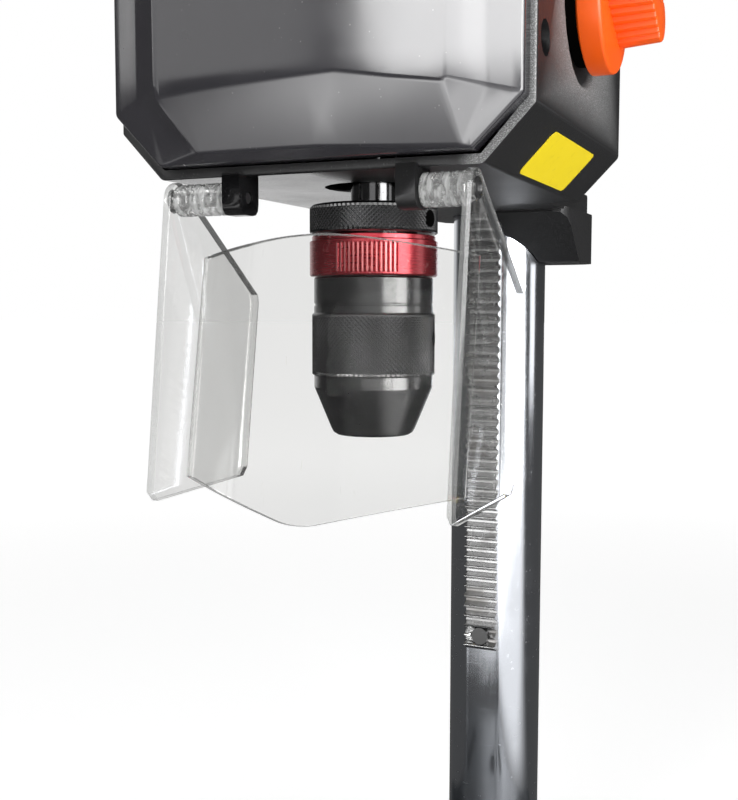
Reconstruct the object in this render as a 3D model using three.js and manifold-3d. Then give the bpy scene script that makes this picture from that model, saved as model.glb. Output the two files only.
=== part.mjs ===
// Benchtop drill press whose whole head rides on its column.
// Millimetres, +Z up. The origin is on the underside of the base, under the column's axis,
// and the spindle stands in front of the column, towards -Y.

import * as THREE from 'three';
import { mergeVertices } from 'three/addons/utils/BufferGeometryUtils.js';
import Module from 'manifold-3d';

const wasm = await Module();
wasm.setup();

// Driving dimensions
const GAP = 0.3;
const RUNNING_GAP = 0.45;
const COLUMN_RADIUS = 21.7;
const COLUMN_WALL = 4;
const COLUMN_TOP = 628;
const COLUMN_SEAT = 12;
const SPINDLE_REACH = 151;
const HEAD_BOTTOM = 360;
const HEAD_HEIGHT = 250;

// Base casting
const BASE = {
  halfWidth: 118, front: -242, back: 54, rim: 22, deck: 34, wall: 7, plate: 8, rib: 10, bevel: 5, corner: 22,
  bossRadius: 46, neckRadius: 34, bossTop: 56, screwRise: 46, earInset: 42,
};
const BASE_EAR = { reach: 150, halfDepth: 18, height: 12, slotRadius: 5.5, slotLength: 12 };
const TABLE_SLOT = { offset: 80, halfLength: 34, radius: 6.5 };
const TABLE_HOLE = { radius: 15, wellRadius: 22 };
const SET_SCREW_RADIUS = 3.6;

// Rack and feed
const RACK = { module: 1.5, width: 15, back: -20.3, tip: -25.6, bottom: 158, teeth: 89 };
const PINION = { teeth: 16, rise: 190, shaftRadius: 6, length: 16 };
const FEED = { bossEnd: 76, bossRadius: 21, hubRadius: 24, hubStart: 86.5, hubEnd: 106, spokes: 3, spokeReach: 104, lean: 8 };

// Head casing, seen from the front: half widths and heights above the underside
const HEAD_SHIFT = -1.3;
const CASE = { low: 55.5, high: 71.3, chamfer: 16.5, crown: 24, wall: 3, front: -45.5, back: 77 };
const COVER = { low: 52, high: 69.3, bottom: 3.4, chamfer: 18.3, top: 246.5, edge: -52, face: -61, bow: 2.6, wall: 2.6 };
const LUG = { left: -29.1, right: 31, half: 3.2, reach: 6.3, drop: 5.6 };
const KNOB = {
  back: 12, rise: 57.8, disc: 23, discBack: 2.7, discFront: 10.2, recess: 27, depth: 2.2, end: 24,
  barHalf: 11.5, barRadius: 7.8, barTilt: -27, crank: 5, shaft: 4, pin: 2,
};
const SIDE_HOLE = { back: -36.4, rise: 36.3, radius: 5.2 };
const SWITCH = { stop: 168, start: 194, low: 150, high: 212, half: 24, plug: 4.9, button: 9 };

// Gear train inside the head
const SPINDLE_WHEEL = { teeth: 28, module: 2, bottom: 36, top: 46 };
const COUNTER_PINION = { teeth: 12, module: 2, bottom: 35, top: 47 };
const COUNTER_WHEEL = { teeth: 27, module: 1.6, bottom: 62, top: 70 };
const MOTOR_PINION = { teeth: 11, module: 1.6, bottom: 60.5, top: 71.5 };
const MOTOR_BACK = 40;
const CENTRE_PLAY = 0.25;
const GEAR_PLATES = { low: [20, 28], high: [92, 100] };
const TOOTH_SHARE = 0.4;

// Sides of the large round surfaces
const ROUND = 26;

// Chuck, heights from the head's underside
const CHUCK = {
  top: -6.5, ringRadius: 22.4, ringBottom: -16.7, redBottom: -31, neckRadius: 20.9,
  gripTop: -44.2, gripRadius: 21.6, gripBottom: -65, bandRadius: 20.9, coneTop: -70, tipRadius: 14.4, tip: -86.4,
};
const JAW = { count: 3, radius: 3.4, lean: 14, travel: 18, length: 28, foot: 7, footRise: -80, play: 0.45 };

// Guard
const GUARD = {
  shift: -1.5, inner: 50.4, plate: 3, pivotBack: -42, pivotDrop: -6.6, ear: 6, tilt: 9.6, sheet: 2, bow: 13,
  studRibs: 3, studRadius: 4.6, play: 0.6, pinRadius: 1.8,
};

const SPINDLE_Y = -SPINDLE_REACH;
const CASE_RIGHT = CASE.high + HEAD_SHIFT;
const CASE_LEFT = -CASE.high + HEAD_SHIFT;
const GLAND = [-58 + HEAD_SHIFT, HEAD_BOTTOM + 40];
const CASE_FRONT = SPINDLE_Y + CASE.front;
const CASE_BACK = SPINDLE_Y + CASE.back;
const HEAD_TOP = HEAD_BOTTOM + HEAD_HEIGHT;
const PITCH = Math.PI * RACK.module;
const PINION_RADIUS = RACK.module * PINION.teeth / 2;
const PINION_Y = RACK.tip + RACK.module - PINION_RADIUS - 0.15;
const PINION_Z = HEAD_BOTTOM + PINION.rise;

const rad = THREE.MathUtils.degToRad;

/** Height above the head's underside as a height in the part's frame. */
const up = (rise) => HEAD_BOTTOM + rise;
/** Distance behind the spindle as a place on the part's Y axis. */
const behind = (back) => SPINDLE_Y + back;

// Solids and boolean operations

function toSolid(geometry) {
  const bare = geometry.clone();
  bare.deleteAttribute('normal');
  bare.deleteAttribute('uv');
  const merged = mergeVertices(bare, 1e-4);
  const index = Array.from(merged.index.array);
  const faces = [];
  for (let i = 0; i < index.length; i += 3) {
    const [a, b, c] = index.slice(i, i + 3);
    if (a !== b && b !== c && c !== a) faces.push(a, b, c);
  }
  const vertProperties = new Float32Array(merged.getAttribute('position').array);
  return new wasm.Manifold(new wasm.Mesh({ numProp: 3, vertProperties, triVerts: new Uint32Array(faces) }));
}

function toGeometry(solid) {
  const mesh = solid.getMesh();
  const geometry = new THREE.BufferGeometry();
  geometry.setAttribute('position', new THREE.BufferAttribute(new Float32Array(mesh.vertProperties), 3));
  geometry.setIndex(Array.from(mesh.triVerts));
  return geometry;
}

function join(...geometries) {
  return toGeometry(geometries.map(toSolid).reduce((a, b) => a.add(b)));
}

function cut(geometry, ...tools) {
  return toGeometry(tools.map(toSolid).reduce((a, b) => a.subtract(b), toSolid(geometry)));
}

function common(a, b) {
  return toGeometry(toSolid(a).intersect(toSolid(b)));
}

// Basic forms

function box([x0, x1], [y0, y1], [z0, z1]) {
  const form = new THREE.BoxGeometry(x1 - x0, y1 - y0, z1 - z0);
  return form.translate((x0 + x1) / 2, (y0 + y1) / 2, (z0 + z1) / 2);
}

/** A polygon with its corners rounded by the given radii (one for all, or one each). */
function rounded(points, radii) {
  const shape = new THREE.Shape();
  const count = points.length;
  points.forEach((point, i) => {
    const radius = Array.isArray(radii) ? radii[i] : radii;
    const corner = new THREE.Vector2(...point);
    const before = new THREE.Vector2(...points[(i + count - 1) % count]).sub(corner);
    const after = new THREE.Vector2(...points[(i + 1) % count]).sub(corner);
    const half = Math.acos(THREE.MathUtils.clamp(before.dot(after) / before.length() / after.length(), -1, 1)) / 2;
    const reach = radius > 0 ? Math.min(radius / Math.tan(half), before.length() * 0.49, after.length() * 0.49) : 0;
    const start = corner.clone().addScaledVector(before.normalize(), reach);
    const end = corner.clone().addScaledVector(after.normalize(), reach);
    if (i === 0) shape.moveTo(start.x, start.y);
    else shape.lineTo(start.x, start.y);
    if (reach > 0) shape.quadraticCurveTo(corner.x, corner.y, end.x, end.y);
  });
  shape.closePath();
  return shape;
}

const outline = (points) => rounded(points, 0);

function disc(radius, [a, b] = [0, 0]) {
  const shape = new THREE.Shape();
  shape.absarc(a, b, radius, 0, 2 * Math.PI);
  return shape;
}

/** A slot with round ends along the direction given in degrees. */
function slot(halfLength, radius, degrees = 0, [a, b] = [0, 0]) {
  const turn = rad(degrees);
  const [da, db] = [halfLength * Math.cos(turn), halfLength * Math.sin(turn)];
  const shape = new THREE.Shape();
  shape.absarc(a + da, b + db, radius, turn - Math.PI / 2, turn + Math.PI / 2);
  shape.absarc(a - da, b - db, radius, turn + Math.PI / 2, turn + 1.5 * Math.PI);
  shape.closePath();
  return shape;
}

/** Extrudes an outline along an axis: x takes (Y, Z) outlines, y takes (X, Z), z takes (X, Y). */
function prism(shape, axis, [from, to], curveSegments = 6) {
  const form = new THREE.ExtrudeGeometry(shape, { depth: to - from, bevelEnabled: false, curveSegments });
  if (axis === 'z') return form.translate(0, 0, from);
  if (axis === 'y') return form.rotateX(Math.PI / 2).translate(0, to, 0);
  return form.applyMatrix4(new THREE.Matrix4().makeBasis(
    new THREE.Vector3(0, 1, 0), new THREE.Vector3(0, 0, 1), new THREE.Vector3(1, 0, 0),
  )).translate(from, 0, 0);
}

/** A round bar along an axis; centre is in the plane across that axis. */
function bar(axis, radius, span, centre, sides = 24) {
  return prism(disc(radius, centre), axis, span, sides / 2);
}

/** The tool for a round hole: its flats, not its corners, lie on the given radius. */
function hole(axis, radius, span, centre, sides = 24) {
  return bar(axis, radius / Math.cos(Math.PI / sides), span, centre, sides);
}

/** Revolves a closed profile of (radius, height) points about a vertical axis. */
function revolve(profile, sides, [x, y] = [0, 0]) {
  const points = profile.map(([r, z]) => new THREE.Vector2(r, z));
  const area = THREE.ShapeUtils.area(points);
  const ordered = area < 0 ? points.reverse() : points;
  const onAxis = ordered.findIndex((p, i) => p.x === 0 && ordered[(i + ordered.length - 1) % ordered.length].x === 0);
  const start = onAxis < 0 ? 0 : onAxis;
  const ring = [...ordered.slice(start), ...ordered.slice(0, start)];
  if (onAxis < 0) ring.push(ring[0].clone());
  const lathe = new THREE.LatheGeometry(ring, sides).rotateX(Math.PI / 2).translate(x, y, 0);
  return toGeometry(toSolid(lathe));
}

/** Turns a form made about the Z axis so that it lies along +X, at the given Y and Z. */
function alongX(form, y, z) {
  return form.rotateY(Math.PI / 2).translate(0, y, z);
}

/** Joins rings of equal point counts, with flat ends, into one closed form. */
function loft(rings) {
  const count = rings[0].length;
  const positions = rings.flat(2);
  const index = [];
  for (let ring = 0; ring < rings.length - 1; ring += 1) {
    for (let i = 0; i < count; i += 1) {
      const [a, b] = [ring * count + i, ring * count + (i + 1) % count];
      index.push(a, b, b + count, a, b + count, a + count);
    }
  }
  const last = (rings.length - 1) * count;
  for (let i = 1; i < count - 1; i += 1) {
    index.push(0, i + 1, i);
    index.push(last, last + i, last + i + 1);
  }
  const form = new THREE.BufferGeometry();
  form.setAttribute('position', new THREE.Float32BufferAttribute(positions, 3));
  form.setIndex(index);
  return form;
}

/** A spur gear's outline with straight flanks; tooth 0 is centred on the given angle. */
function gearShape({ teeth, module }, turn) {
  const pitchRadius = module * teeth / 2;
  const [tip, root] = [pitchRadius + module, pitchRadius - 1.25 * module];
  const step = 2 * Math.PI / teeth;
  const half = TOOTH_SHARE * step / 2;
  const spread = Math.tan(rad(20)) * module / pitchRadius;
  const points = [];
  for (let tooth = 0; tooth < teeth; tooth += 1) {
    const middle = turn + tooth * step;
    const corners = [[root, -half - 1.25 * spread], [tip, -half + spread], [tip, half - spread], [root, half + 1.25 * spread]];
    for (const [radius, angle] of corners) {
      points.push([radius * Math.cos(middle + angle), radius * Math.sin(middle + angle)]);
    }
  }
  return outline(points);
}

function gear(size, turn, [x, y], bore = 0) {
  const shape = gearShape(size, turn);
  if (bore > 0) shape.holes.push(disc(bore));
  return prism(shape, 'z', [up(size.bottom), up(size.top)], 7).translate(x, y, 0);
}

// Materials

const FINISH = {
  hammered: [0x4a4d50, 0.55, 0.3],
  blackPlastic: [0x1b1b1d, 0.6, 0],
  greyPlastic: [0x5b5a5f, 0.3, 0],
  steel: [0xc3c7cc, 0.25, 1],
  blackSteel: [0x17171a, 0.35, 0.8],
  redAlloy: [0xa5323a, 0.35, 0.6],
  orange: [0xff640a, 0.4, 0],
  clear: [0xe2e4e2, 0.08, 0],
  castAlloy: [0x2a2b2d, 0.6, 0.4],
  copper: [0xb06a3c, 0.4, 0.8],
  green: [0x2d8a4a, 0.4, 0],
  red: [0xc03028, 0.4, 0],
};

const press = new THREE.Group();

function add(name, geometry, finish) {
  const [color, roughness, metalness] = FINISH[finish];
  const mesh = new THREE.Mesh(geometry, new THREE.MeshStandardMaterial({ color, roughness, metalness }));
  mesh.name = name;
  press.add(mesh);
  return mesh;
}

// Base: a ribbed casting with a column boss, table slots and bolting ears

function base() {
  const { halfWidth, front, back, rim, deck, wall, plate, rib, bevel, corner, bossTop } = BASE;
  const corners = (inset) => [
    [-halfWidth + inset, front + inset], [halfWidth - inset, front + inset],
    [halfWidth - inset, back - inset], [-halfWidth + inset, back - inset],
  ];
  const skirt = prism(rounded(corners(0), corner), 'z', [0, rim], 3);
  const ring = (inset, height) => {
    const points = rounded(corners(inset), corner - inset).getPoints(3).slice(0, -1);
    return points.map((point) => [point.x, point.y, height]);
  };
  const upper = loft([ring(0, rim), ring(bevel, deck)]);
  const boss = revolve([
    [0, 0], [BASE.bossRadius, 0], [BASE.bossRadius, deck + 4], [BASE.neckRadius, bossTop - 6],
    [BASE.neckRadius - 2, bossTop], [0, bossTop],
  ], 20);
  const earPlaces = [-1, 1].flatMap((side) => [[side, front + BASE.earInset], [side, back - BASE.earInset]]);
  const ears = earPlaces.map(([side, y]) => {
    const tip = BASE_EAR.reach - BASE_EAR.halfDepth;
    const root = halfWidth - BASE.wall - BASE_EAR.halfDepth;
    const shape = slot((tip - root) / 2, BASE_EAR.halfDepth, 0, [side * (tip + root) / 2, y]);
    return prism(shape, 'z', [0, BASE_EAR.height], 3);
  });
  const pocket = prism(rounded(corners(wall), corner - wall), 'z', [-1, deck - plate], 2);
  const ribs = [];
  const ribSpan = [deck - plate - rib, deck - plate + 1];
  for (const x of [-54, 54]) ribs.push(box([x - 3, x + 3], [front + bevel, back - bevel], ribSpan));
  for (const y of [front + 45, front + 156]) {
    ribs.push(box([-halfWidth + bevel, halfWidth - bevel], [y - 3, y + 3], ribSpan));
  }
  const well = bar('z', TABLE_HOLE.wellRadius, ribSpan, [0, SPINDLE_Y], 16);
  const body = join(cut(join(skirt, upper, ...ears), pocket), ...ribs, well, boss);
  const through = [-1, deck + 1];
  const tableSlot = (x) => prism(slot(TABLE_SLOT.halfLength, TABLE_SLOT.radius, 90, [x, SPINDLE_Y]), 'z', through, 2);
  const tools = [
    hole('z', COLUMN_RADIUS + GAP, [COLUMN_SEAT, bossTop + 1], [0, 0], ROUND),
    hole('z', TABLE_HOLE.radius, through, [0, SPINDLE_Y], 16),
    tableSlot(-TABLE_SLOT.offset),
    tableSlot(TABLE_SLOT.offset),
    hole('y', SET_SCREW_RADIUS + 2 * GAP, [COLUMN_RADIUS - 1, BASE.bossRadius], [0, BASE.screwRise], 8),
    hole('x', SET_SCREW_RADIUS + 2 * GAP, [COLUMN_RADIUS - 1, BASE.bossRadius], [0, BASE.screwRise], 8),
  ];
  for (const [side, y] of earPlaces) {
    const shape = slot(BASE_EAR.slotLength / 2, BASE_EAR.slotRadius, 0, [side * (BASE_EAR.reach - 16), y]);
    tools.push(prism(shape, 'z', [-1, BASE_EAR.height + 1], 2));
  }
  add('base_plate', cut(body, ...tools), 'hammered');

  const screw = () => revolve([[0, 0], [SET_SCREW_RADIUS, 0], [SET_SCREW_RADIUS, 9], [0, 9]], 8);
  const place = COLUMN_RADIUS + 2 * GAP;
  add('column_set_screw_side', alongX(screw(), 0, BASE.screwRise).translate(place, 0, 0), 'blackSteel');
  const rear = screw().rotateX(-Math.PI / 2).translate(0, place, BASE.screwRise);
  add('column_set_screw_rear', rear, 'blackSteel');
}

// Column tube with its rack bar, screws and top plug

function column() {
  const inner = COLUMN_RADIUS - COLUMN_WALL;
  const rackTop = RACK.bottom + RACK.teeth * PITCH;
  const tube = revolve([[inner, COLUMN_SEAT + GAP], [COLUMN_RADIUS, COLUMN_SEAT + GAP], [COLUMN_RADIUS, COLUMN_TOP],
    [inner, COLUMN_TOP]], ROUND);
  const flat = box([-RACK.width / 2 - GAP, RACK.width / 2 + GAP], [-30, RACK.back + GAP], [RACK.bottom - 4, rackTop + 4]);
  const screwHeights = [RACK.bottom + 1.5 * PITCH, rackTop - 1.5 * PITCH];
  const holes = screwHeights.map((z) => hole('y', 2.1, [-30, 0], [0, z], 8));
  add('column_tube', cut(tube, flat, ...holes), 'steel');

  const root = RACK.tip + 2.25 * RACK.module;
  const flank = Math.tan(rad(20)) * 2.25 * RACK.module;
  const land = TOOTH_SHARE * PITCH - 2 * Math.tan(rad(20)) * RACK.module;
  const profile = [[RACK.back, RACK.bottom], [RACK.back, rackTop], [root, rackTop]];
  for (let tooth = RACK.teeth - 1; tooth >= 0; tooth -= 1) {
    const middle = RACK.bottom + (tooth + 0.5) * PITCH;
    profile.push([root, middle + land / 2 + flank], [RACK.tip, middle + land / 2]);
    profile.push([RACK.tip, middle - land / 2], [root, middle - land / 2 - flank]);
  }
  profile.push([root, RACK.bottom]);
  const rack = prism(outline(profile.reverse()), 'x', [-RACK.width / 2, RACK.width / 2]);
  const seats = screwHeights.flatMap((z) => [hole('y', 4.4, [-30, RACK.back - 2], [0, z], 10),
    hole('y', 2.1, [-30, 0], [0, z], 8)]);
  add('rack_bar', cut(rack, ...seats), 'steel');
  ['lower', 'upper'].forEach((name, i) => {
    const screw = join(bar('y', 4.1, [RACK.tip + 0.6, RACK.back - 2.3], [0, screwHeights[i]], 10),
      bar('y', 1.8, [RACK.back - 2.4, -COLUMN_RADIUS + COLUMN_WALL + 1], [0, screwHeights[i]], 8));
    add(`rack_screw_${name}`, screw, 'blackSteel');
  });
  add('column_cap', revolve([[0, COLUMN_TOP - 14], [inner - GAP, COLUMN_TOP - 14], [inner - GAP, COLUMN_TOP + GAP],
    [COLUMN_RADIUS, COLUMN_TOP + GAP], [COLUMN_RADIUS - 2, COLUMN_TOP + 5], [0, COLUMN_TOP + 6]], 20), 'blackPlastic');
}

// Head casing: a chamfered tub open at the front

function caseOutline(inset) {
  const [low, high] = [CASE.low - inset * 0.41, CASE.high - inset];
  const [bottom, top] = [up(inset), up(HEAD_HEIGHT - inset)];
  const chamfer = up(CASE.chamfer + inset * 0.41);
  const shoulder = up(HEAD_HEIGHT - CASE.crown - inset * 0.41);
  const crown = high - CASE.crown + inset * 0.59;
  return outline([[-low, bottom], [low, bottom], [high, chamfer], [high, shoulder], [crown, top], [-crown, top],
    [-high, shoulder], [-high, chamfer]]);
}

function casing() {
  const shell = cut(
    prism(caseOutline(0), 'y', [CASE_FRONT, CASE_BACK]),
    prism(caseOutline(CASE.wall), 'y', [CASE_FRONT - 1, CASE_BACK - CASE.wall]),
  ).translate(HEAD_SHIFT, 0, 0);
  const pin = [behind(GUARD.pivotBack), up(GUARD.pivotDrop)];
  const lugs = [LUG.left, LUG.right].map((middle) => {
    const [y, z] = pin;
    const shape = rounded([
      [y - LUG.reach, up(1)], [y - LUG.reach, z - LUG.drop], [y + LUG.reach, z - LUG.drop], [y + LUG.reach, up(1)],
    ], [0, 4, 4, 0]);
    return prism(shape, 'x', [middle - LUG.half, middle + LUG.half], 3);
  });
  const knob = [behind(KNOB.back), up(KNOB.rise)];
  const dish = revolve([[0, 0], [KNOB.recess + 1, 0], [KNOB.recess + 1, 7], [0, 7]], 24);
  const pad = alongX(dish, ...knob).translate(CASE_RIGHT - 7.5, 0, 0);
  const recess = revolve([[0, 0], [KNOB.recess - 1.5, 0], [KNOB.recess, KNOB.depth], [KNOB.recess, 8], [0, 8]], 24);
  const tools = [
    alongX(recess, ...knob).translate(CASE_RIGHT - KNOB.depth, 0, 0),
    hole('x', KNOB.shaft + 1.6, [CASE_RIGHT - 12, CASE_RIGHT + 2], knob, 12),
    hole('x', SIDE_HOLE.radius, [CASE_RIGHT - 6, CASE_RIGHT + 2], [behind(SIDE_HOLE.back), up(SIDE_HOLE.rise)], 12),
    hole('z', 17, [up(-1), up(5)], [0, SPINDLE_Y], 20),
    hole('y', 9, [CASE_BACK - 6, CASE_BACK + 1], GLAND, 12),
    ...[LUG.left, LUG.right].map((x) => hole('x', GUARD.pinRadius + GAP, [x - 5, x + 5], pin, 8)),
  ];
  for (const span of [[CASE_LEFT - 1, CASE_LEFT + 6], [CASE_RIGHT - 6, CASE_RIGHT + 1]]) {
    for (let i = 0; i < 5; i += 1) {
      tools.push(prism(slot(18, 1.8, 90, [behind(8 + 11 * i), up(178)]), 'x', span, 1));
    }
  }
  add('head_casing', cut(join(shell, pad, ...lugs), ...tools), 'blackPlastic');
}

// Front cover: a bevelled, slightly bowed moulding with a switch recess

function coverRing(inset, sill, y) {
  const [low, high] = [COVER.low - inset * 0.7, COVER.high - inset];
  const [bottom, chamfer] = [COVER.bottom + sill, COVER.chamfer + sill * 0.36];
  const [top, crown] = [COVER.top - inset, 22];
  const points = [[-low, bottom], [low, bottom], [high, chamfer], [high, top - crown], [high - crown, top],
    [-high + crown, top], [-high, top - crown], [-high, chamfer]];
  return points.map(([x, rise]) => [x, y, up(rise)]);
}

function coverForm(skin, back) {
  const edge = behind(COVER.edge) + skin;
  const step = behind(COVER.edge - 3.5) + skin;
  const face = behind(COVER.face) + skin;
  return loft([
    coverRing(skin, skin, back), coverRing(skin, skin, edge), coverRing(11 + skin, 3 + skin, step),
    coverRing(20 + skin, 22.5 + skin, face), coverRing(22 + skin, 24.5 + skin, face - 12),
  ]);
}

function frontCover() {
  const bowRadius = (50 ** 2 + COVER.bow ** 2) / (2 * COVER.bow);
  const bowed = (skin) => bar('z', bowRadius, [up(-20), HEAD_TOP + 20],
    [0, behind(COVER.face - COVER.bow) + skin + bowRadius], 200);
  const outer = common(coverForm(0, CASE_FRONT - GAP), bowed(0));
  const inner = common(coverForm(COVER.wall, CASE_FRONT + 1), bowed(COVER.wall));
  const face = behind(COVER.face);
  const rises = [SWITCH.stop, SWITCH.start];
  const panel = (grow, span) => {
    const [half, low, high] = [SWITCH.half + grow, up(SWITCH.low - grow), up(SWITCH.high + grow)];
    return prism(rounded([[-half, low], [half, low], [half, high], [-half, high]], 5), 'y', span, 3);
  };
  const drilled = (span) => rises.map((rise) => hole('y', SWITCH.plug + 0.7, span, [0, up(rise)], 12));
  const place = (name, geometry, finish) => add(name, geometry.translate(HEAD_SHIFT, 0, 0), finish);
  const recess = panel(0, [face - 10, face + 1.4]);
  const backing = panel(3, [face - 1.5, face + 4]);
  place('front_cover', cut(join(cut(outer, inner), backing), recess, ...drilled([face - 4, face + 8])), 'greyPlastic');

  const plateFront = face - 1.6;
  const well = (rise) => hole('y', SWITCH.button + 0.4, [plateFront - 1, plateFront + 1.4], [0, up(rise)], 14);
  const openings = drilled([plateFront - 1, face + 2]);
  place('switch_plate', cut(panel(-0.5, [plateFront, face + 1.1]), ...rises.map(well), ...openings), 'blackPlastic');
  const button = (name, rise, finish) => place(name, join(
    bar('y', SWITCH.button, [plateFront - 3.6, plateFront - 0.4], [0, up(rise)], 14),
    bar('y', SWITCH.plug, [plateFront - 1, face + 11], [0, up(rise)], 12),
  ), finish);
  button('start_button', SWITCH.start, 'green');
  button('stop_button', SWITCH.stop, 'red');
  const block = box([-20, 20], [face + 4.3, face + 30], [up(SWITCH.low + 4), up(SWITCH.high - 4)]);
  place('switch_block', cut(block, ...drilled([face + 4, face + 16])), 'blackPlastic');
}

// Column sleeve: the bored casting that carries the head on the column

function sleeve() {
  const [front, rear, top] = [CASE_BACK + GAP, 33, up(236)];
  const plan = (half, back) => rounded([[-half, front], [half, front], [half, back], [-half, back]], [0, 0, 17, 17]);
  const core = prism(plan(32, rear - 3), 'z', [up(2), top], 3);
  const bands = [[2, 12], [76, 84], [160, 168], [226, 236]].map(([low, high]) => prism(plan(38, rear), 'z', [up(low), up(high)], 3));
  const flange = prism(rounded([[-44, up(14)], [44, up(14)], [44, top - 12], [-44, top - 12]], 8), 'y', [front, front + 8], 2);
  const boss = bar('x', FEED.bossRadius, [20, FEED.bossEnd], [PINION_Y, PINION_Z], 24);
  const ears = box([-15, 15], [rear - 8, rear + 20], [up(112), up(146)]);
  const skirtPlan = rounded([[3, -31], [40, -31], [40, 30], [3, 30]], [2, 7, 12, 2]);
  const slope = prism(outline([[-33, up(3)], [-31, up(1)], [-7, up(-20)], [34, up(-20)], [34, up(3)]]), 'x', [0, 45]);
  const skirt = common(prism(skirtPlan, 'z', [up(-21), up(3)], 3), slope);
  const body = join(core, ...bands, flange, boss, ears, skirt);
  const reach = RACK.tip - 1.2;
  add('column_sleeve', cut(body,
    hole('z', COLUMN_RADIUS + RUNNING_GAP, [up(-22), top + 1], [0, 0], ROUND),
    box([-RACK.width / 2 - 1, RACK.width / 2 + 1], [reach, -10], [up(-22), top + 1]),
    hole('x', 15.2, [-PINION.length / 2 - 2, FEED.bossEnd + 1], [PINION_Y, PINION_Z], 20),
    hole('x', PINION.shaftRadius + RUNNING_GAP, [-26, 0], [PINION_Y, PINION_Z], 14),
    box([-1.5, 1.5], [10, rear + 21], [up(90), up(168)]),
    hole('x', 4.4, [-20, 20], [rear + 10, up(129)], 10)), 'castAlloy');

  const bushStart = PINION.length / 2 + 1.5;
  const bush = revolve([[PINION.shaftRadius + RUNNING_GAP, bushStart], [14.9, bushStart], [14.9, FEED.bossEnd + GAP],
    [19, FEED.bossEnd + GAP], [19, FEED.bossEnd + 3], [PINION.shaftRadius + RUNNING_GAP, FEED.bossEnd + 3]], 16);
  add('feed_bush', alongX(bush, PINION_Y, PINION_Z), 'steel');

  const bolt = join(bar('x', 4, [-24, 15.4], [rear + 10, up(129)], 10), bar('x', 7, [15.3, 20], [rear + 10, up(129)], 6));
  add('clamp_bolt', bolt, 'steel');
  const leverHub = bar('x', 8, [-27, -15.4], [0, 0], 16);
  const arm = new THREE.CylinderGeometry(3.4, 4.2, 44, 8).translate(-22.5, 24, 0);
  const grip = new THREE.SphereGeometry(8, 10, 6).translate(-22.5, 48, 0);
  const lever = cut(join(leverHub, arm, grip), hole('x', 4.4, [-24.4, -10], [0, 0], 10));
  lever.rotateX(rad(-32)).translate(0, rear + 10, up(129));
  add('clamp_lever', lever, 'blackPlastic');
}

// Feed: pinion shaft, depth ring, hub, spokes and grips

function feed() {
  const centre = [PINION_Y, PINION_Z];
  const rackPhase = (PINION_Z - RACK.bottom) / PITCH;
  const offset = (rackPhase - Math.floor(rackPhase)) - 0.5;
  const turn = Math.PI / PINION.teeth - offset * 2 * Math.PI / PINION.teeth;
  const teeth = gearShape({ teeth: PINION.teeth, module: RACK.module }, turn);
  const wheel = prism(teeth, 'z', [-PINION.length / 2, PINION.length / 2]);
  const lying = new THREE.Matrix4().makeBasis(new THREE.Vector3(0, 1, 0), new THREE.Vector3(0, 0, 1), new THREE.Vector3(1, 0, 0));
  const pinion = wheel.applyMatrix4(lying).translate(0, PINION_Y, PINION_Z);
  const shaft = bar('x', PINION.shaftRadius, [-24, FEED.hubEnd - 8], centre, 14);
  add('pinion_shaft', join(pinion, shaft), 'steel');

  const ringStart = FEED.bossEnd + 3 + GAP;
  const ring = revolve([[PINION.shaftRadius + GAP, ringStart], [25, ringStart], [26, ringStart + 1], [26, ringStart + 6],
    [PINION.shaftRadius + GAP, ringStart + 6]], 20);
  add('depth_ring', alongX(ring, ...centre), 'steel');
  const [start, end] = [FEED.hubStart, FEED.hubEnd];
  const hub = revolve([[0, end - 6], [PINION.shaftRadius + GAP, end - 6], [PINION.shaftRadius + GAP, start], [22, start],
    [FEED.hubRadius, start + 3], [FEED.hubRadius, end - 6], [16, end], [0, end]], 20);
  const stations = [...Array(FEED.spokes).keys()].map((i) => 2 * Math.PI * i / FEED.spokes);
  const middle = (start + end) / 2 - 3;
  const aimed = (form, angle) => form.rotateZ(rad(-FEED.lean)).rotateX(Math.PI / 2 + angle)
    .translate(middle, PINION_Y, PINION_Z);
  const hubSocket = () => new THREE.CylinderGeometry(5.2, 5.2, 20, 8).translate(0, FEED.hubRadius + 2, 0);
  add('feed_hub', cut(alongX(hub, ...centre), ...stations.map((angle) => aimed(hubSocket(), angle))), 'blackPlastic');
  stations.forEach((angle, i) => {
    const length = FEED.spokeReach - FEED.hubRadius + 6;
    const spoke = new THREE.CylinderGeometry(4.4, 4.4, length, 10).translate(0, FEED.hubRadius - 6 + length / 2, 0);
    add(`feed_spoke_${i + 1}`, aimed(spoke, angle), 'steel');
    const profile = [[0, 0], [7, 0], [8.5, 4], [10.5, 26], [10, 34], [6.5, 40], [0, 41.5]];
    const grip = new THREE.LatheGeometry(profile.map(([r, y]) => new THREE.Vector2(r, y)), 12);
    grip.translate(0, FEED.spokeReach - 24, 0);
    const socket = new THREE.CylinderGeometry(4.4 + 2 * GAP, 4.4 + 2 * GAP, 24.6, 10).translate(0, FEED.spokeReach - 12, 0);
    add(`feed_grip_${i + 1}`, aimed(cut(grip, socket), angle), 'blackPlastic');
  });
}

// Gear selector: knob, shaft with eccentric pin, and shift fork

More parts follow.
